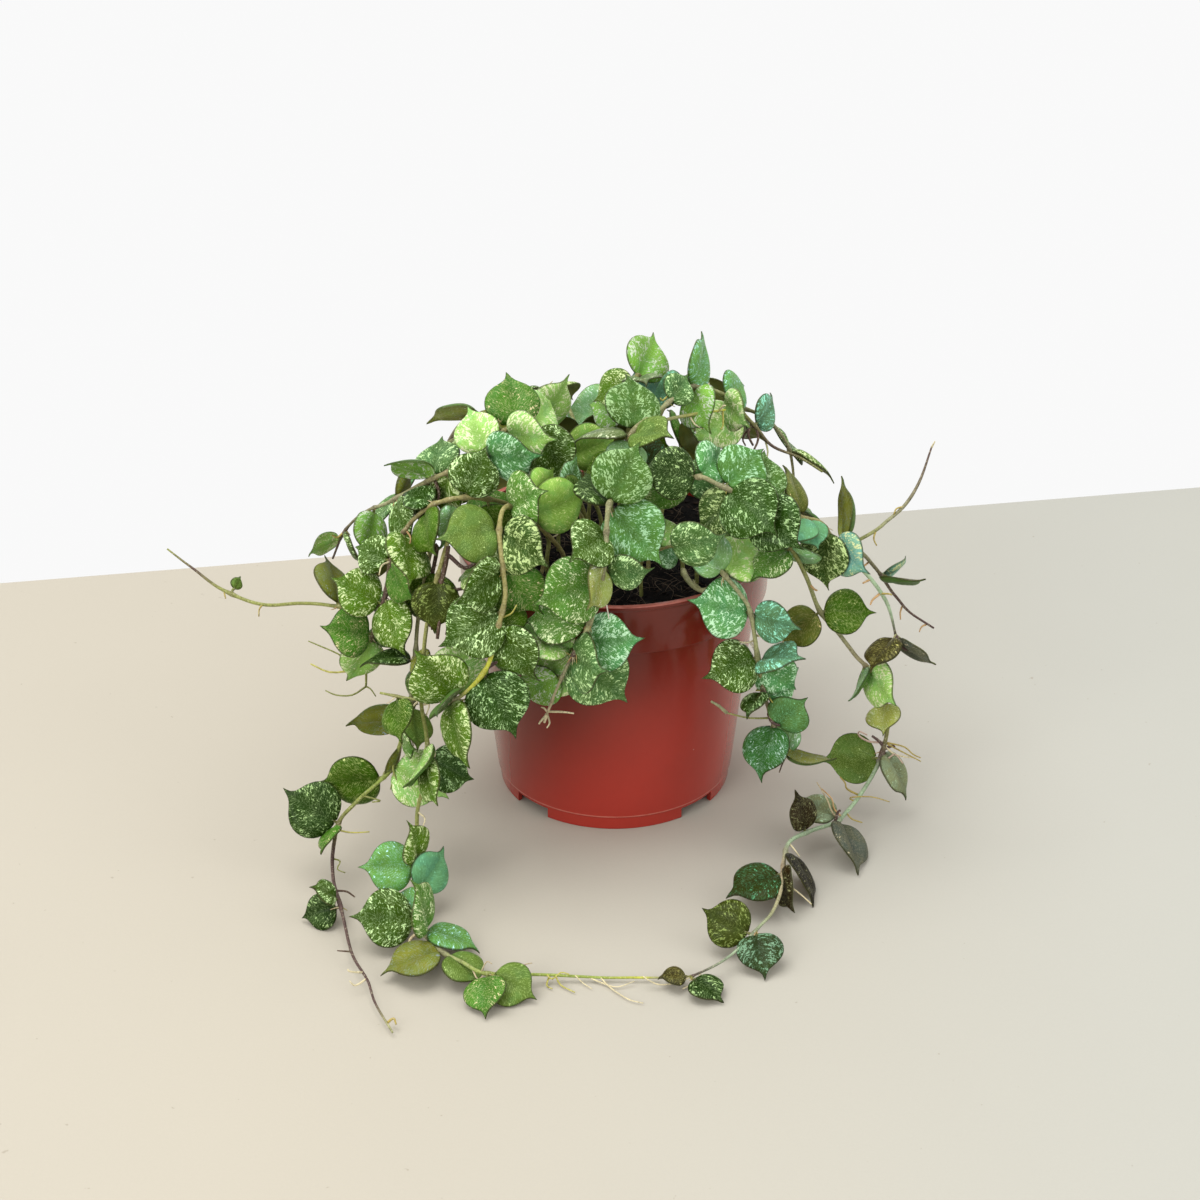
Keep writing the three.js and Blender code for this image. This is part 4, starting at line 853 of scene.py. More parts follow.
            "greyGreen greyGreen brownFlecked greyBrown nearBlack tealDark brownFlecked "
            "oliveMottled bluishFlecked darkMottled brown grassFlecked"
        ).split(),
        "roots": [
            ("pink", 0.45, (106, -32, 31), (100, -33, 32), (96, -32, 34), (96, -32, 36), (99, -33, 35)),
            ("ochre", 0.4, (106, -32, 31), (112, -35, 29), (120, -38, 26)),
            ("ochre", 0.45, (96, -44, 14), (91, -44, 17), (90, -44, 20), (88, -43, 22)),
            ("ochre", 0.35, (94, -47, 13), (92, -47, 15), (100, -48, 16), (107, -50, 15)),
            ("ochre", 0.4, (90, -53, 12), (92, -56, 11), (96, -57, 10)),
            ("beige", 0.4, (87, -58, 12), (84, -57, 15), (82, -56, 20), (78, -53, 26)),
            ("cream", 0.4, (66, -75, 13), (68, -78, 12), (70, -80, 10)),
            ("cream", 0.4, (62, -94, 13), (65, -97, 9), (69, -100, 7), (73, -102, 4)),
            ("cream", 0.35, (27, -145, 4), (22, -147, 3), (16, -147, 2), (12, -147, 4), (10, -146, 5)),
            ("cream", 0.3, (31, -143, 5), (28, -146, 2), (24, -148, 1)),
            ("peach", 0.4, (88, -56, 12), (85, -55, 15), (84, -54, 19), (80, -53, 23)),
            ("purple", 0.7, (85, -60, 12), (86, -59, 16), (87, -59, 17)),
            ("purple", 0.8, (106, -33, 29), (104, -33, 32), (101, -32, 34)),
            ("purple", 0.7, (105, -33, 28), (109, -33, 30), (110, -34, 30)),
            ("pink", 0.4, (105, -34, 27), (107, -36, 26), (110, -36, 28), (113, -38, 25)),
            ("cream", 0.4, (106, -32, 30), (109, -35, 28), (113, -36, 27), (118, -37, 27)),
            ("ochre", 0.4, (106, -32, 31), (109, -33, 31), (114, -34, 30), (117, -36, 28), (120, -37, 27)),
            ("peach", 0.5, (72, -44, 108), (74, -47, 107), (75, -48, 107)),
        ],
    },
]

backs = {
    "bearings": ((30, 92), (60, 48), (118, 42), (178, 62)), "seed": 100, "radius": 1.1,
    "rise": ((22, 114), (30, 136), (46, 149), (66, 143), (80, 127)),
    "hangTop": 112, "hangStep": 17, "hangOut": 85, "sway": 5, "pairStep": 1.6, "bendStop": 2.5,
    "riseClock": 25, "hangClock": -30, "lean": 15, "length": 23, "angleSpread": 15, "turnSpread": 20,
    "lengthSpread": 2, "looks": "midCream grassPlain mottled tealFlecked deepPlain midPatch".split(),
}


def drawsFrom(state):  # a repeatable stream of numbers between 0 and 1
    while True:
        state = (state * 1664525 + 1013904223) % 4294967296
        yield state / 4294967296


def mix(low, high, share):
    return low + (high - low) * share


def backStrand(bearing, end, index):  # a stem at the back, which the photograph hides
    b = backs
    draws = drawsFrom(b["seed"] + index)
    ahead = math.radians(bearing)

    def either(most):
        return most * (2 * next(draws) - 1)

    def at(out, side, height):
        return (out * math.cos(ahead) - side * math.sin(ahead),
                out * math.sin(ahead) + side * math.cos(ahead), height)

    stops = [at(out, 0, height) for out, height in b["rise"]]
    height = b["hangTop"]
    while height > end:
        stops.append(at(b["hangOut"] + either(b["sway"]), either(b["sway"]), height))
        height -= b["hangStep"]
    leaves, looks, stop = [], [], 1
    while stop < len(stops) - 1:
        droop = b["riseClock"] if stop < b["bendStop"] else b["hangClock"]
        for side in (droop, 180 - droop):
            clock = side + either(b["angleSpread"])
            lean = b["lean"] + either(b["angleSpread"])
            turn, length = either(b["turnSpread"]), b["length"] + either(b["lengthSpread"])
            leaves.append((stop, clock, lean, turn, length))
            looks.append(b["looks"][(len(leaves) + index) % len(b["looks"])])
        stop += b["pairStep"]
    return {"node": f"vine_back_{index + 1}", "radius": b["radius"],
            "tones": [(0, "olive"), (4, "grey"), (8, "olive")],
            "bearing": ahead, "stops": stops, "leaves": leaves, "looks": looks}


def eased(start, end, leave, arrive, part):  # from start to end, with the slope at each
    bend = 3 * (end - start) - 2 * leave - arrive
    return start + leave * part + bend * part ** 2 + (2 * (start - end) + leave + arrive) * part ** 3


def curvePoint(points, share):
    spot = share * (len(points) - 1)
    at = min(int(spot), len(points) - 2)
    start, end = points[at], points[at + 1]
    before = points[at - 1] if at else 2 * start - end
    after = points[at + 2] if at + 2 < len(points) else 2 * end - start
    return eased(start, end, (end - before) / 2, (after - start) / 2, spot - at)


def stemLine(strand):
    points = [Vector(stop) for stop in strand["stops"]]
    if not strand.get("branch"):
        points = [Vector((points[0].x, points[0].y, depth)) for depth in growth["rootDepths"]] + points
    return points


def stopShare(strand, line, stop):  # a stop's place along the line, from 0 to 1
    return (stop + len(line) - len(strand["stops"])) / (len(line) - 1)


def spinePoint(line, share):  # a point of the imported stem, which runs straight between its stops
    place = share * (len(line) - 1)
    at = min(int(place), len(line) - 2)
    return line[at].lerp(line[at + 1], place - at)


def bladeAxes(bearing, clock, lean, turn):  # along to the tip, out of the upper face, and across
    eyeHeight = math.radians(growth["eyeHeight"])
    level = Vector((math.cos(bearing), math.sin(bearing), 0))
    eye = level * math.cos(eyeHeight) + Vector((0, 0, math.sin(eyeHeight)))
    right = Vector((-math.sin(bearing), math.cos(bearing), 0))
    along = right * math.cos(clock) + eye.cross(right) * math.sin(clock)
    along = along * math.cos(lean) + eye * math.sin(lean)
    facing = (eye - along * eye.dot(along)).normalized()
    out = facing * math.cos(turn) + along.cross(facing) * math.sin(turn)
    return along, out, along.cross(out)


def bladePoint(leaf, side, height, lift):
    along, out, across = leaf["axes"]
    length = leaf["length"]
    droop = leaf["curl"] * length * max(height, 0) ** 2
    return (leaf["foot"] + along * (growth["stalk"] + height * length) + across * side
            + out * (leaf["fold"] * abs(side) - droop + lift))


def cornersOf(leaf):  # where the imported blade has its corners
    thick = growth["thickness"] / 2
    for height, half in growth["corners"]:
        for side in {-half, half}:
            for lift in (-thick, thick):
                yield bladePoint(leaf, side * leaf["length"], height, lift)


def seatLeaf(foot, bearing, pose, draws, solid):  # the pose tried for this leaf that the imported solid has
    clock, lean, turn, length = pose
    fold, curl = mix(*growth["folds"], next(draws)), mix(*growth["curls"], next(draws))
    for shrink in growth["shrinks"]:
        for moreClock, moreLean, moreTurn in growth["tries"]:
            angles = [math.radians(angle) for angle in (clock + moreClock, lean + moreLean, turn + moreTurn)]
            leaf = {"foot": foot, "axes": bladeAxes(bearing, *angles), "fold": fold, "curl": curl,
                    "length": length * shrink - growth["stalk"], "turned": abs(turn + moreTurn) > 90}
            found = sum(solid.find(corner)[2] < growth["match"] for corner in cornersOf(leaf))
            if found >= growth["enough"]:
                return leaf
    return None


def solidPoints(node):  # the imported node's corners, in millimetres from the pot's axis
    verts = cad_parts[node].data.vertices
    tree = kdtree.KDTree(len(verts))
    for index, vert in enumerate(verts):
        tree.insert((vert.co - potAxis) / mm, index)
    tree.balance()
    return tree


def growPlant():
    rows = strands + [backStrand(*back, index) for index, back in enumerate(backs["bearings"])]
    solids = {row["node"]: solidPoints(row["node"]) for row in rows}
    for index, row in enumerate(rows):
        draws = drawsFrom(index + 1)
        row["line"] = stemLine(row)
        row["seated"] = []
        for (stop, *pose), look in zip(row["leaves"], row["looks"]):
            share = stopShare(row, row["line"], stop)
            foot = spinePoint(row["line"], share)
            bearing = row.get("bearing", math.radians(growth["frontBearing"]))
            leaf = seatLeaf(foot, bearing, pose, draws, solids[row["node"]])
            if leaf:
                leaf.update(share=share, look=look, seed=index * 40 + len(row["seated"]))
                row["seated"].append(leaf)
            else:
                print("no leaf in the solid:", row["node"], stop)
    print("plant laid out:", sum(len(row["seated"]) for row in rows), "leaves on", len(rows), "stems")
    return rows


# leaves

leafTones = {  # upper face, flecks and how much of it they cover, with most tones fitted by a program
    "lightPlain": ((134, 176, 72), (196, 210, 132), 0.3),
    "lightCream": ((58, 82, 26), (188, 210, 140), 0.62),
    "lightSilver": ((66, 98, 32), (150, 182, 126), 0.6),
    "midSilver": ((112, 158, 56), (190, 198, 178), 0.55),
    "brightSilver": ((78, 124, 50), (166, 208, 164), 0.6),
    "midPatch": ((56, 82, 10), (208, 238, 170), 0.45), "midCream": ((78, 110, 16), (208, 224, 162), 0.55),
    "darkSilver": ((38, 66, 4), (172, 206, 142), 0.5), "darkMottled": ((32, 54, 4), (162, 190, 126), 0.42),
    "mottled": ((70, 104, 48), (198, 230, 164), 0.5), "yellowCream": ((148, 194, 92), (224, 230, 184), 0.6),
    "paleFold": ((96, 112, 66), (214, 222, 184), 0.35), "deepPlain": ((60, 92, 2), (202, 214, 134), 0.15),
    "grassPlain": ((68, 114, 30), (218, 206, 156), 0.3),
    "grassFlecked": ((78, 120, 38), (216, 230, 178), 0.5), "lime": ((90, 114, 44), (188, 212, 130), 0.2),
    "mint": ((86, 124, 60), (144, 216, 164), 0.2), "mintPale": ((126, 170, 102), (218, 236, 222), 0.3),
    "teal": ((96, 144, 62), (190, 238, 238), 0.3), "tealPale": ((86, 124, 82), (152, 226, 196), 0.5),
    "tealFlecked": ((80, 136, 70), (190, 228, 188), 0.6), "tealDeep": ((50, 96, 38), (162, 192, 174), 0.35),
    "tealDark": ((44, 50, 8), (90, 162, 116), 0.3), "bluish": ((106, 156, 132), (212, 214, 154), 0.5),
    "bluishDark": ((96, 150, 100), (116, 180, 138), 0.35),
    "bluishFlecked": ((40, 54, 18), (116, 152, 120), 0.6), "olive": ((116, 120, 40), (138, 154, 162), 0.2),
    "oliveDark": ((88, 98, 32), (206, 186, 128), 0.15),
    "oliveYellow": ((154, 162, 74), (238, 238, 226), 0.25),
    "oliveMottled": ((48, 56, 2), (126, 142, 74), 0.5), "brown": ((60, 54, 20), (198, 194, 112), 0.2),
    "brownFlecked": ((36, 26, 0), (156, 158, 110), 0.3), "greyBrown": ((78, 82, 64), (186, 176, 144), 0.2),
    "greyGreen": ((118, 124, 86), (166, 196, 160), 0.3), "nearBlack": ((26, 22, 18), (160, 158, 120), 0.2),
}
leafBacks = {"turned": (74, 104, 44), "plain": (112, 116, 58), "cover": 0.1, "edge": (44, 42, 26)}
bladeShape = {
    "across": 12, "thick": 1.15, "rim": 0.5, "filled": 2.6, "crease": 1.1, "bulge": 0.2, "roll": 0.1,
    "recurve": (0.4, 2.4), "sweep": 1.1, "lobe": 0.05, "ripple": 0.3,
    "outline": [  # half width at each height, as shares of the length
        (0, 0.04), (0.03, 0.22), (0.1, 0.37), (0.2, 0.46), (0.34, 0.5), (0.48, 0.485), (0.6, 0.42),
        (0.7, 0.305), (0.77, 0.175), (0.83, 0.08), (0.9, 0.04), (1, 0),
    ],
    "rows": (0, 0.012, 0.03, 0.06, 0.1, 0.15, 0.21, 0.28, 0.36, 0.44, 0.52, 0.6, 0.66, 0.71, 0.76, 0.81, 0.87,
             0.94, 1),
}


leafMarks = {  # scales per millimetre along and across the side veins, then where the marks start and fade
    "streak": (0.27, 0.84), "speck": (0.9, 1.8), "patch": (0.5, 0.7), "grain": (0.7, 3.4), "bend": 3.4,
    "fleckFrom": 0.695, "fleckEdge": 0.022, "patchFrom": 0.83, "patchEdge": 0.014,
    "ribClear": 0.1, "rimMore": 0.03, "strength": 0.86, "halves": 31,
}


def leafFinish():  # pale flecks fan out along the side veins and leave the midrib clear
    m = leafMarks
    skin = Finish("hoyaLeaf")
    amount, margin, rib = skin.split(skin.attribute("bladeData", "Vector"))
    side, along, shift = skin.split(skin.attribute("bladePlace", "Vector"))
    half = shift + side.calc("GREATER_THAN", side, 0) * m["halves"]
    vein, over = along + rib, along - rib
    cloud = skin.noise(skin.join(side, along, shift), 0.12, 2, 0.5)
    bend = (skin.noise(skin.join(side, along, half), 0.35, 2, 0.5) - 0.5) * m["bend"]
    crowd = skin.noise(skin.join(side, along, half + 3), 0.22, 1, 0.5)
    streak = skin.noise(skin.join(vein * m["streak"][0], over * m["streak"][1] + bend, half), 1, 2, 0.6)
    speck = skin.noise(skin.join(vein * m["speck"][0], over * m["speck"][1], half), 1, 2, 0.6)
    patch = skin.noise(skin.join(vein * m["patch"][0], over * m["patch"][1] + bend, half + 9), 1, 1, 0.5)
    grain = skin.noise(skin.join(vein * m["grain"][0], over * m["grain"][1] + bend, half), 1, 2, 0.6)
    clear = skin.ramp(rib, 2.6, 0.3) * m["ribClear"] - skin.ramp(margin, 4, 0.6) * m["rimMore"]
    cover = amount * (0.55 + crowd * 0.9)
    flecking = streak * 0.6 + speck * 0.4 - clear - (m["fleckFrom"] - cover * 0.25)
    patching = patch + speck * 0.1 - clear * 0.6 - (m["patchFrom"] - cover * 0.22)
    flecks, patches = skin.ramp(flecking, 0, m["fleckEdge"]), skin.ramp(patching, 0, m["patchEdge"])
    marked = flecks.calc("MAXIMUM", flecks, patches)
    fine = skin.noise(skin.join(side, along, shift), 2.4, 3, 0.6)
    light = 0.1 + cloud * 0.9 + fine * 0.3 + grain * 0.6 - skin.ramp(rib, 3, 0) * 0.12
    green = skin.blend(1, skin.attribute("bladeTone"), skin.grey(light), "MULTIPLY")
    sheen = skin.ramp(skin.noise(skin.join(side, along, shift + 5), 0.18, 2, 0.5), 0.46, 0.6)
    cooler = skin.blend(sheen * 0.3, green, skin.blend(1, green, (0.8, 1.12, 1.8), "MULTIPLY"))
    frost = skin.ramp(grain + crowd * 0.2, 0.62, 0.74) * 0.3
    frosted = skin.blend(frost, cooler, skin.attribute("fleckTone"))
    bright = 0.6 + speck * 0.84
    pale = skin.blend(1, skin.attribute("fleckTone"), skin.grey(bright), "MULTIPLY")
    flecked = skin.blend(marked * m["strength"], frosted, pale)
    edge = skin.ramp(margin + (speck - 0.5) * 0.3, 0.34, 0.12) * 0.6
    rimmed = skin.blend(edge, flecked, tone(*leafBacks["edge"]))
    height = fine * 0.3 + grain * 0.5 + skin.ramp(rib, 0, 0.8) * 0.2
    return skin.skin(rimmed, 0.32 + fine * 0.16 + marked * 0.06, height, 0.0006, 0.55,
                     **{"Coat Weight": 0.07, "Coat Roughness": 0.14, "Specular IOR Level": 0.07})


def halfWidth(height):  # the outline's half width, eased through its points
    points = bladeShape["outline"]
    at = next(index for index in range(1, len(points)) if height <= points[index][0])
    (low, start), (high, end) = points[at - 1], points[at]
    slopes = []
    for spot in (at - 1, at):
        before, after = points[max(spot - 1, 0)], points[min(spot + 1, len(points) - 1)]
        slopes.append((after[1] - before[1]) / (after[0] - before[0]) * (high - low))
    return eased(start, end, *slopes, (height - low) / (high - low))


def bladeMesh():  # one flat blade, split evenly, with where each point lies on it
    b = bladeShape
    bm = bmesh.new()
    spot = bm.verts.layers.float_vector.new("bladePlace")
    for name in ("bladeTone", "fleckTone"):
        bm.verts.layers.float_color.new(name)
    bm.verts.layers.float_vector.new("bladeData")
    bmesh.ops.create_grid(bm, x_segments=b["across"], y_segments=len(b["rows"]) - 1, size=0.5)
    for vert in bm.verts:
        height = b["rows"][round((vert.co.y + 0.5) * (len(b["rows"]) - 1))]
        share = math.sin(vert.co.x * math.pi)
        vert[spot] = (share, height, 1)
        vert.co = (share * halfWidth(height), height, 0)
    bmesh.ops.solidify(bm, geom=bm.faces[:], thickness=0.01)
    for vert in bm.verts:
        if vert.co.z < -0.005:
            vert[spot] = (vert[spot].x, vert[spot].y, -1)
    bmesh.ops.remove_doubles(bm, verts=bm.verts[:], dist=1e-5)
    bmesh.ops.recalc_face_normals(bm, faces=bm.faces[:])
    mesh = bpy.data.meshes.new("blade")
    bm.to_mesh(mesh)
    bm.free()
    return mesh


def setLeaf(bm, blade, leaf):
    b = bladeShape
    draw = random.Random(leaf["seed"])
    start = len(bm.verts)
    bm.from_mesh(blade)
    bm.verts.ensure_lookup_table()
    spot, data = (bm.verts.layers.float_vector[name] for name in ("bladePlace", "bladeData"))
    face, fleck = (bm.verts.layers.float_color[name] for name in ("bladeTone", "fleckTone"))
    length = leaf["length"]
    recurve, sweep = draw.uniform(*b["recurve"]), b["sweep"] * draw.uniform(-1, 1)
    phase, shift, vary = draw.uniform(0, 6), draw.uniform(0, 900), draw.uniform(0.92, 1.08)
    seenTone, seenFleck, cover = leafTones[leaf["look"]]
    backTone = leafBacks["turned" if leaf["turned"] else "plain"]
    for vert in bm.verts[start:]:
        share, height, facing = vert[spot]
        half = halfWidth(height) * length
        side = share * half
        margin = max(0, min(half * (1 - abs(share)), height * length + 0.6))
        thick = mix(b["rim"], b["thick"], min(1, margin / b["filled"]) ** 0.6)
        valley = math.sqrt(side ** 2 + b["crease"] ** 2) - b["crease"] - abs(side)
        swell = b["bulge"] * half * (1 - (2 * abs(share) - 1) ** 2) * (1 - height)
        point = max(0, (height - 0.74) / 0.26) ** 2
        drop = recurve * point + b["roll"] * half * share ** 4
        wave = b["ripple"] * math.sin(height * 8 + phase + share) * share ** 2
        lift = facing * thick / 2 + leaf["fold"] * valley + swell - drop + wave
        lobe = b["lobe"] * share ** 2 * max(0, 1 - height / 0.2)
        vert.co = potAxis + bladePoint(leaf, side + sweep * point, height - lobe, lift) * mm
        vert[spot] = (side, height * length, shift)
        seen = (facing > 0) != leaf["turned"]
        vert[data] = (cover if seen else leafBacks["cover"], margin, abs(side))
        vert[face] = (*[part * vary for part in tone(*(seenTone if seen else backTone))], 1)
        vert[fleck] = (*tone(*(seenFleck if seen else seenTone)), 1)


# stems, leaf stalks and aerial roots

stemTones = {
    "tan": (150, 142, 88), "olive": (130, 134, 72), "grey": (138, 138, 102), "purple": (84, 64, 60),
    "pale": (158, 158, 112), "mint": (150, 172, 138), "lime": (142, 158, 74), "lemon": (178, 180, 62),
    "beige": (176, 160, 128), "stalk": (112, 110, 62), "cream": (208, 196, 158), "yellow": (176, 170, 84),
    "ochre": (160, 142, 74), "peach": (190, 152, 104), "pink": (190, 164, 148), "hair": (206, 196, 180),
    "brown": (84, 64, 52), "rootTip": (150, 116, 78), "scar": (66, 56, 38), "highlight": (198, 194, 160),
}
stemShape = {
    "sides": 9, "spacing": 2.2, "tip": 0.5, "tipFrom": 0.7, "swell": 0.42, "reach": 1.5, "slim": 0.68,
    "soil": 96, "rising": 0.3, "wobble": 0.3, "level": 30, "blotch": 0.68, "jointDark": 0.4,
    "stalkRadii": (0.74, 0.56, 0.54, 0.66, 0.62), "stalkSides": 6,
}


def stemFinish():
    skin = Finish("stemBark")
    place = skin.objectPlace()
    streak = skin.noise(place, 380, 4, 0.65)
    ring = skin.noise(place, 1500, 3, 0.6)
    base = skin.attribute("stemTone")
    # streaky tone, partly the bark's own colour and partly painted highlight and shade along the stem
    shaded = skin.blend(1, base, skin.shade(streak, 0.45, 1.6), "MULTIPLY")
    scarred = skin.blend(skin.ramp(ring, 0.56, 0.66) * 0.5, shaded, tone(*stemTones["scar"]))
    # pale painted highlights in small patches
    lit = skin.blend(skin.ramp(ring, 0.43, 0.36) * 0.4, scarred, tone(*stemTones["highlight"]))
    return skin.skin(lit, 0.5 + streak * 0.2, streak + ring * 0.5, 0.0005, 0.6,
                     **{"Specular IOR Level": 0.25})


def lay(bm, path, radii, sides, tones):  # a closed tube along a path in metres, added to bm
    tube = bmesh.new()
    layers = [tube.verts.layers.float_color.new(name) for name in tones]
    ring = bmesh.ops.create_circle(tube, segments=sides, radius=1)["verts"]
    edges = tube.edges[:]
    heading = Vector((0, 0, 1))
    place, radius = Vector((0, 0, 0)), 1
    for index, point in enumerate(path):
        if index:
            grown = bmesh.ops.extrude_edge_only(tube, edges=edges)["geom"]
            ring = [part for part in grown if isinstance(part, bmesh.types.BMVert)]
            edges = [part for part in grown if isinstance(part, bmesh.types.BMEdge)
                     and all(vert in ring for vert in part.verts)]
        ahead = (path[min(index + 1, len(path) - 1)] - path[max(index - 1, 0)]).normalized()
        turn = heading.rotation_difference(ahead).to_matrix().to_4x4()
        size = Matrix.Scale(radii[index] / radius, 4)
        bmesh.ops.transform(tube, verts=ring, matrix=Matrix.Translation(point) @ turn @ size
                            @ Matrix.Translation(-place))
        for vert in ring:
            for layer, name in zip(layers, tones):
                vert[layer] = (*tones[name][index], 1)
        heading, place, radius = ahead, point, radii[index]
    bmesh.ops.holes_fill(tube, edges=tube.edges[:], sides=sides)
    bmesh.ops.recalc_face_normals(tube, faces=tube.faces[:])
    mesh = bpy.data.meshes.new("tube")
    tube.to_mesh(mesh)
    tube.free()
    bm.from_mesh(mesh)
    bpy.data.meshes.remove(mesh)


def mixTone(first, second, share):
    return tuple(mix(a, b, share) for a, b in zip(tone(*first), tone(*second)))


def lineLength(line):
    points = [curvePoint(line, step / 80) for step in range(81)]
    return sum((b - a).length for a, b in zip(points, points[1:]))


def bandTone(row, stop):  # the stem's tone between the stops where it is given
    bands = [(at, stemTones[name]) for at, name in row["tones"]]
    for (start, first), (end, second) in zip(bands, bands[1:]):
        if stop < end:
            return mixTone(first, second, min(1, max(0, (stop - start) / (end - start))))
    return tone(*bands[-1][1])


def stemPoint(row, share):  # the stem as seen, a little in front of its leaves where it hangs free
    point = curvePoint(row["line"], share)
    free = min(1, max(0, point.z / stemShape["level"] - 0.3)) * min(1, max(0, share * 6 - 1.2))
    return point + Vector((0, -1, 0.5)) * row.get("forward", 0) * free


def setStem(bm, row, index):
    s = stemShape
    line = row["line"]
    count = math.ceil(lineLength(line) / s["spacing"])
    joints = sorted({leaf["share"] for leaf in row["seated"]})
    total = lineLength(line)
    path, radii, tones = [], [], []
    for step in range(count + 1):
        share = step / count
        point = stemPoint(row, share)
        if not row.get("branch") and point.z < s["soil"] and share < s["rising"]:
            continue
        near = min((abs(share - joint) * total for joint in joints), default=99)
        node = math.exp(-(near / s["reach"]) ** 2)
        taper = mix(1, s["tip"], max(0, (share - s["tipFrom"]) / (1 - s["tipFrom"])))
        spot = share * total
        sway = Vector([noise.noise(Vector((spot * 0.09, index * 7.0, axis * 5.0))) for axis in range(3)])
        ends = min(1, share * 6, (1 - share) * 6)
        path.append(potAxis + (point + sway * s["wobble"] * ends) * mm)
        radii.append((row["radius"] * s["slim"] * taper + s["swell"] * node * taper) * mm)
        blotch = 0.5 + 0.5 * noise.noise(Vector((spot * 0.12, index * 3.0, 1.0)))
        stop = share * (len(line) - 1) - len(line) + len(row["stops"])
        dark = min(1, s["jointDark"] * node + max(0, blotch - s["blotch"]))
        purple = tone(*stemTones["purple"])
        tones.append(tuple(mix(part, other, dark) for part, other in zip(bandTone(row, stop), purple)))
    lay(bm, path, radii, s["sides"], {"stemTone": tones})


def setStalk(bm, row, leaf):
    s = stemShape
    along, out, _ = leaf["axes"]
    start = stemPoint(row, leaf["share"])
    end = leaf["foot"] + along * (growth["stalk"] + 0.9)
    knee = leaf["foot"] + along * growth["stalk"] * 0.5 - out * 0.25
    path = [curvePoint([start, knee, end], step / 4) for step in range(5)]
    green = leafTones[leaf["look"]][0]
    tones = [mixTone(stemTones["stalk"], green, (step / 4) ** 2 * 0.9) for step in range(5)]
    radii = [radius * mm for radius in s["stalkRadii"]]
    lay(bm, [potAxis + point * mm for point in path], radii, s["stalkSides"], {"stemTone": tones})


rootShape = {
    "seed": 500, "chance": 0.5, "most": 3, "length": (1.5, 5), "radius": 0.28, "sides": 4, "steps": 4,
    "stray": 0.35, "low": 0.4, "tones": ("cream", "peach", "yellow", "ochre"),
    "drawnSides": 6, "drawnSteps": 3, "drawnTip": 0.6,
}


def setRoots(bm, row, index):
    r = rootShape
    draw = random.Random(r["seed"] + index)
    for share in sorted({leaf["share"] for leaf in row["seated"]}):
        if draw.random() > r["chance"]:
            continue
        foot = stemPoint(row, share)
        for _ in range(draw.randint(1, r["most"])):
            ahead = Vector((draw.uniform(-1, 1), draw.uniform(-1, 0.4), draw.uniform(-1.2, 0.2))).normalized()
            length = draw.uniform(*r["length"])
            path = [foot]
            for _ in range(r["steps"]):
                stray = Vector([draw.uniform(-r["stray"], r["stray"]) for _ in range(3)])
                ahead = (ahead + stray).normalized()
                after = path[-1] + ahead * length / r["steps"]
                after.z = max(after.z, r["low"])
                path.append(after)
            paint = stemTones[draw.choice(r["tones"])]
            tones = [mixTone(paint, stemTones["rootTip"], step / 8) for step in range(len(path))]
            radii = [r["radius"] * (1 - 0.15 * step) * mm for step in range(len(path))]
            lay(bm, [potAxis + point * mm for point in path], radii, r["sides"], {"stemTone": tones})


def setDrawnRoots(bm, row):  # aerial roots and dried stem ends, through the points given for each
    r = rootShape
    for paint, radius, *points in row.get("roots", ()):
        points = [Vector(point) for point in points]
        count = (len(points) - 1) * r["drawnSteps"]
        path = [potAxis + curvePoint(points, step / count) * mm for step in range(count + 1)]
        radii = [radius * mix(1, r["drawnTip"], step / count) * mm for step in range(count + 1)]
        lay(bm, path, radii, r["drawnSides"], {"stemTone": [tone(*stemTones[paint])] * (count + 1)})


def makePlant():
    rows = growPlant()
    blade = bladeMesh()
    leafSkin, stemSkin = leafFinish(), stemFinish()
    for node in dict.fromkeys(row["node"] for row in rows):
        leaves, stems = bmesh.new(), bmesh.new()
        stems.verts.layers.float_color.new("stemTone")
        for index, row in enumerate(rows):
            if row["node"] != node:
                continue
            setStem(stems, row, index)
            setRoots(stems, row, index)
            setDrawnRoots(stems, row)
            for leaf in row["seated"]:
                setLeaf(leaves, blade, leaf)
                setStalk(stems, row, leaf)
        name = node.replace("vine_", "")
        putAway(stems, f"stem_{name}", [stemSkin], "leaf_and_stem")
        if len(leaves.verts):
            putAway(leaves, f"leaves_{name}", [leafSkin], "leaf_and_stem", node)
    bpy.data.meshes.remove(blade)
    print("plant made")


# the stage

view = {"back": 0.760, "height": 0.483, "down": 28.09, "lens": 65.25, "shift": -0.0122}
floorShape = {"left": (-0.294, 0.162), "right": (0.306, 0.270), "reach": 3.0, "front": -2.5}
stageTones = {"warm": (178, 171, 156), "cool": (173, 172, 163), "speck": (150, 140, 124)}
room = {"strength": 0.95, "aim": Vector((0, 0, 0.08))}
lights = {  # place from the pot's axis, size across, strength in watts
    "top": ((-0.35, -0.1, 1.5), 1.1, 16), "front": ((-0.9, -1.3, 0.9), 0.8, 10),
    "right": ((1.1, -0.5, 0.9), 0.7, 3),
}


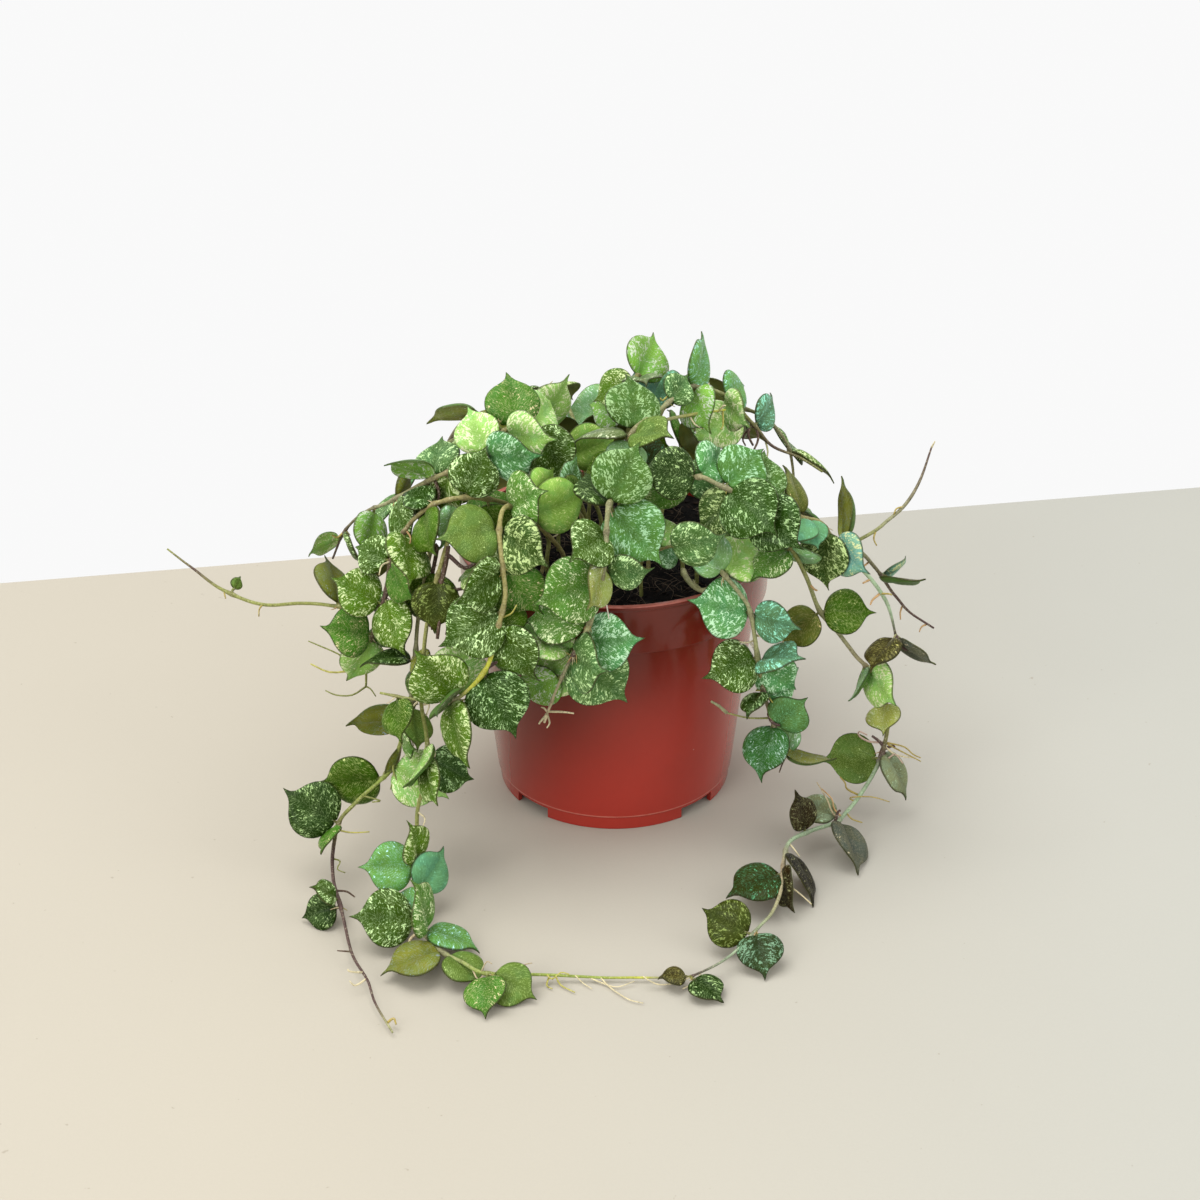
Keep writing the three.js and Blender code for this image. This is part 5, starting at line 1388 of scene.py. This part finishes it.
def makeStage():
    skin = Finish("palePaper")
    place = skin.objectPlace()
    fine = skin.noise(place, 900, 3, 0.7)
    broad = skin.noise(place, 6, 3)
    specks = skin.ramp(skin.noise(place, 240, 2, 0.5), 0.74, 0.78)
    across = skin.split(place)[0]
    # painted light: the floor goes from warm on the left to cool on the right
    paintedLightGradient = skin.blend(skin.ramp(across, -0.1, 0.3), tone(*stageTones["warm"]), tone(*stageTones["cool"]))
    paper = skin.blend(1, paintedLightGradient, skin.shade(fine * 0.5 + broad * 0.5, 0.94, 1.06), "MULTIPLY")
    spotted = skin.blend(specks * 0.6, paper, tone(*stageTones["speck"]))
    material = skin.skin(spotted, 0.85 + fine * 0.1, fine, 0.0002, 0.2)
    left, right = (Vector(floorShape[side]) for side in ("left", "right"))
    slope = (right.y - left.y) / (right.x - left.x)
    reach = floorShape["reach"]
    bm = bmesh.new()
    corners = [(-reach, left.y - slope * (reach + left.x)), (-reach, floorShape["front"]),
               (reach, floorShape["front"]), (reach, right.y + slope * (reach - right.x))]
    bm.faces.new([bm.verts.new((potAxis.x + x, potAxis.y + y, 0)) for x, y in corners])
    mesh = bpy.data.meshes.new("floor")
    bm.to_mesh(mesh)
    bm.free()
    mesh.materials.append(material)
    floor = bpy.data.objects.new("floor", mesh)
    bpy.context.scene.collection.objects.link(floor)


def makeLights():
    for name, (place, size, watts) in lights.items():
        lamp = bpy.data.lights.new(name, "AREA")
        lamp.size = size
        lamp.energy = watts
        thing = bpy.data.objects.new(name, lamp)
        thing.location = potAxis + Vector(place)
        ahead = potAxis + room["aim"] - thing.location
        thing.rotation_euler = ahead.to_track_quat("-Z", "Y").to_euler()
        bpy.context.scene.collection.objects.link(thing)
    world = bpy.data.worlds.new("white room")
    world.use_nodes = True
    background = world.node_tree.nodes["Background"]
    background.inputs["Color"].default_value = (1, 1, 1, 1)
    background.inputs["Strength"].default_value = room["strength"]
    bpy.context.scene.world = world
    bpy.context.scene.view_settings.view_transform = "Standard"


def makeCamera():
    lens = bpy.data.cameras.new("camera")
    lens.lens = view["lens"]
    lens.shift_x = view["shift"]
    camera = bpy.data.objects.new("camera", lens)
    camera.location = potAxis + Vector((0, -view["back"], view["height"]))
    camera.rotation_euler = (math.radians(90 - view["down"]), 0, 0)
    bpy.context.scene.collection.objects.link(camera)
    bpy.context.scene.camera = camera


makeCamera()
makeStage()
makeLights()
print("stage set")
makePot()
makeSoil()
makeCrumbs()
makePlant()
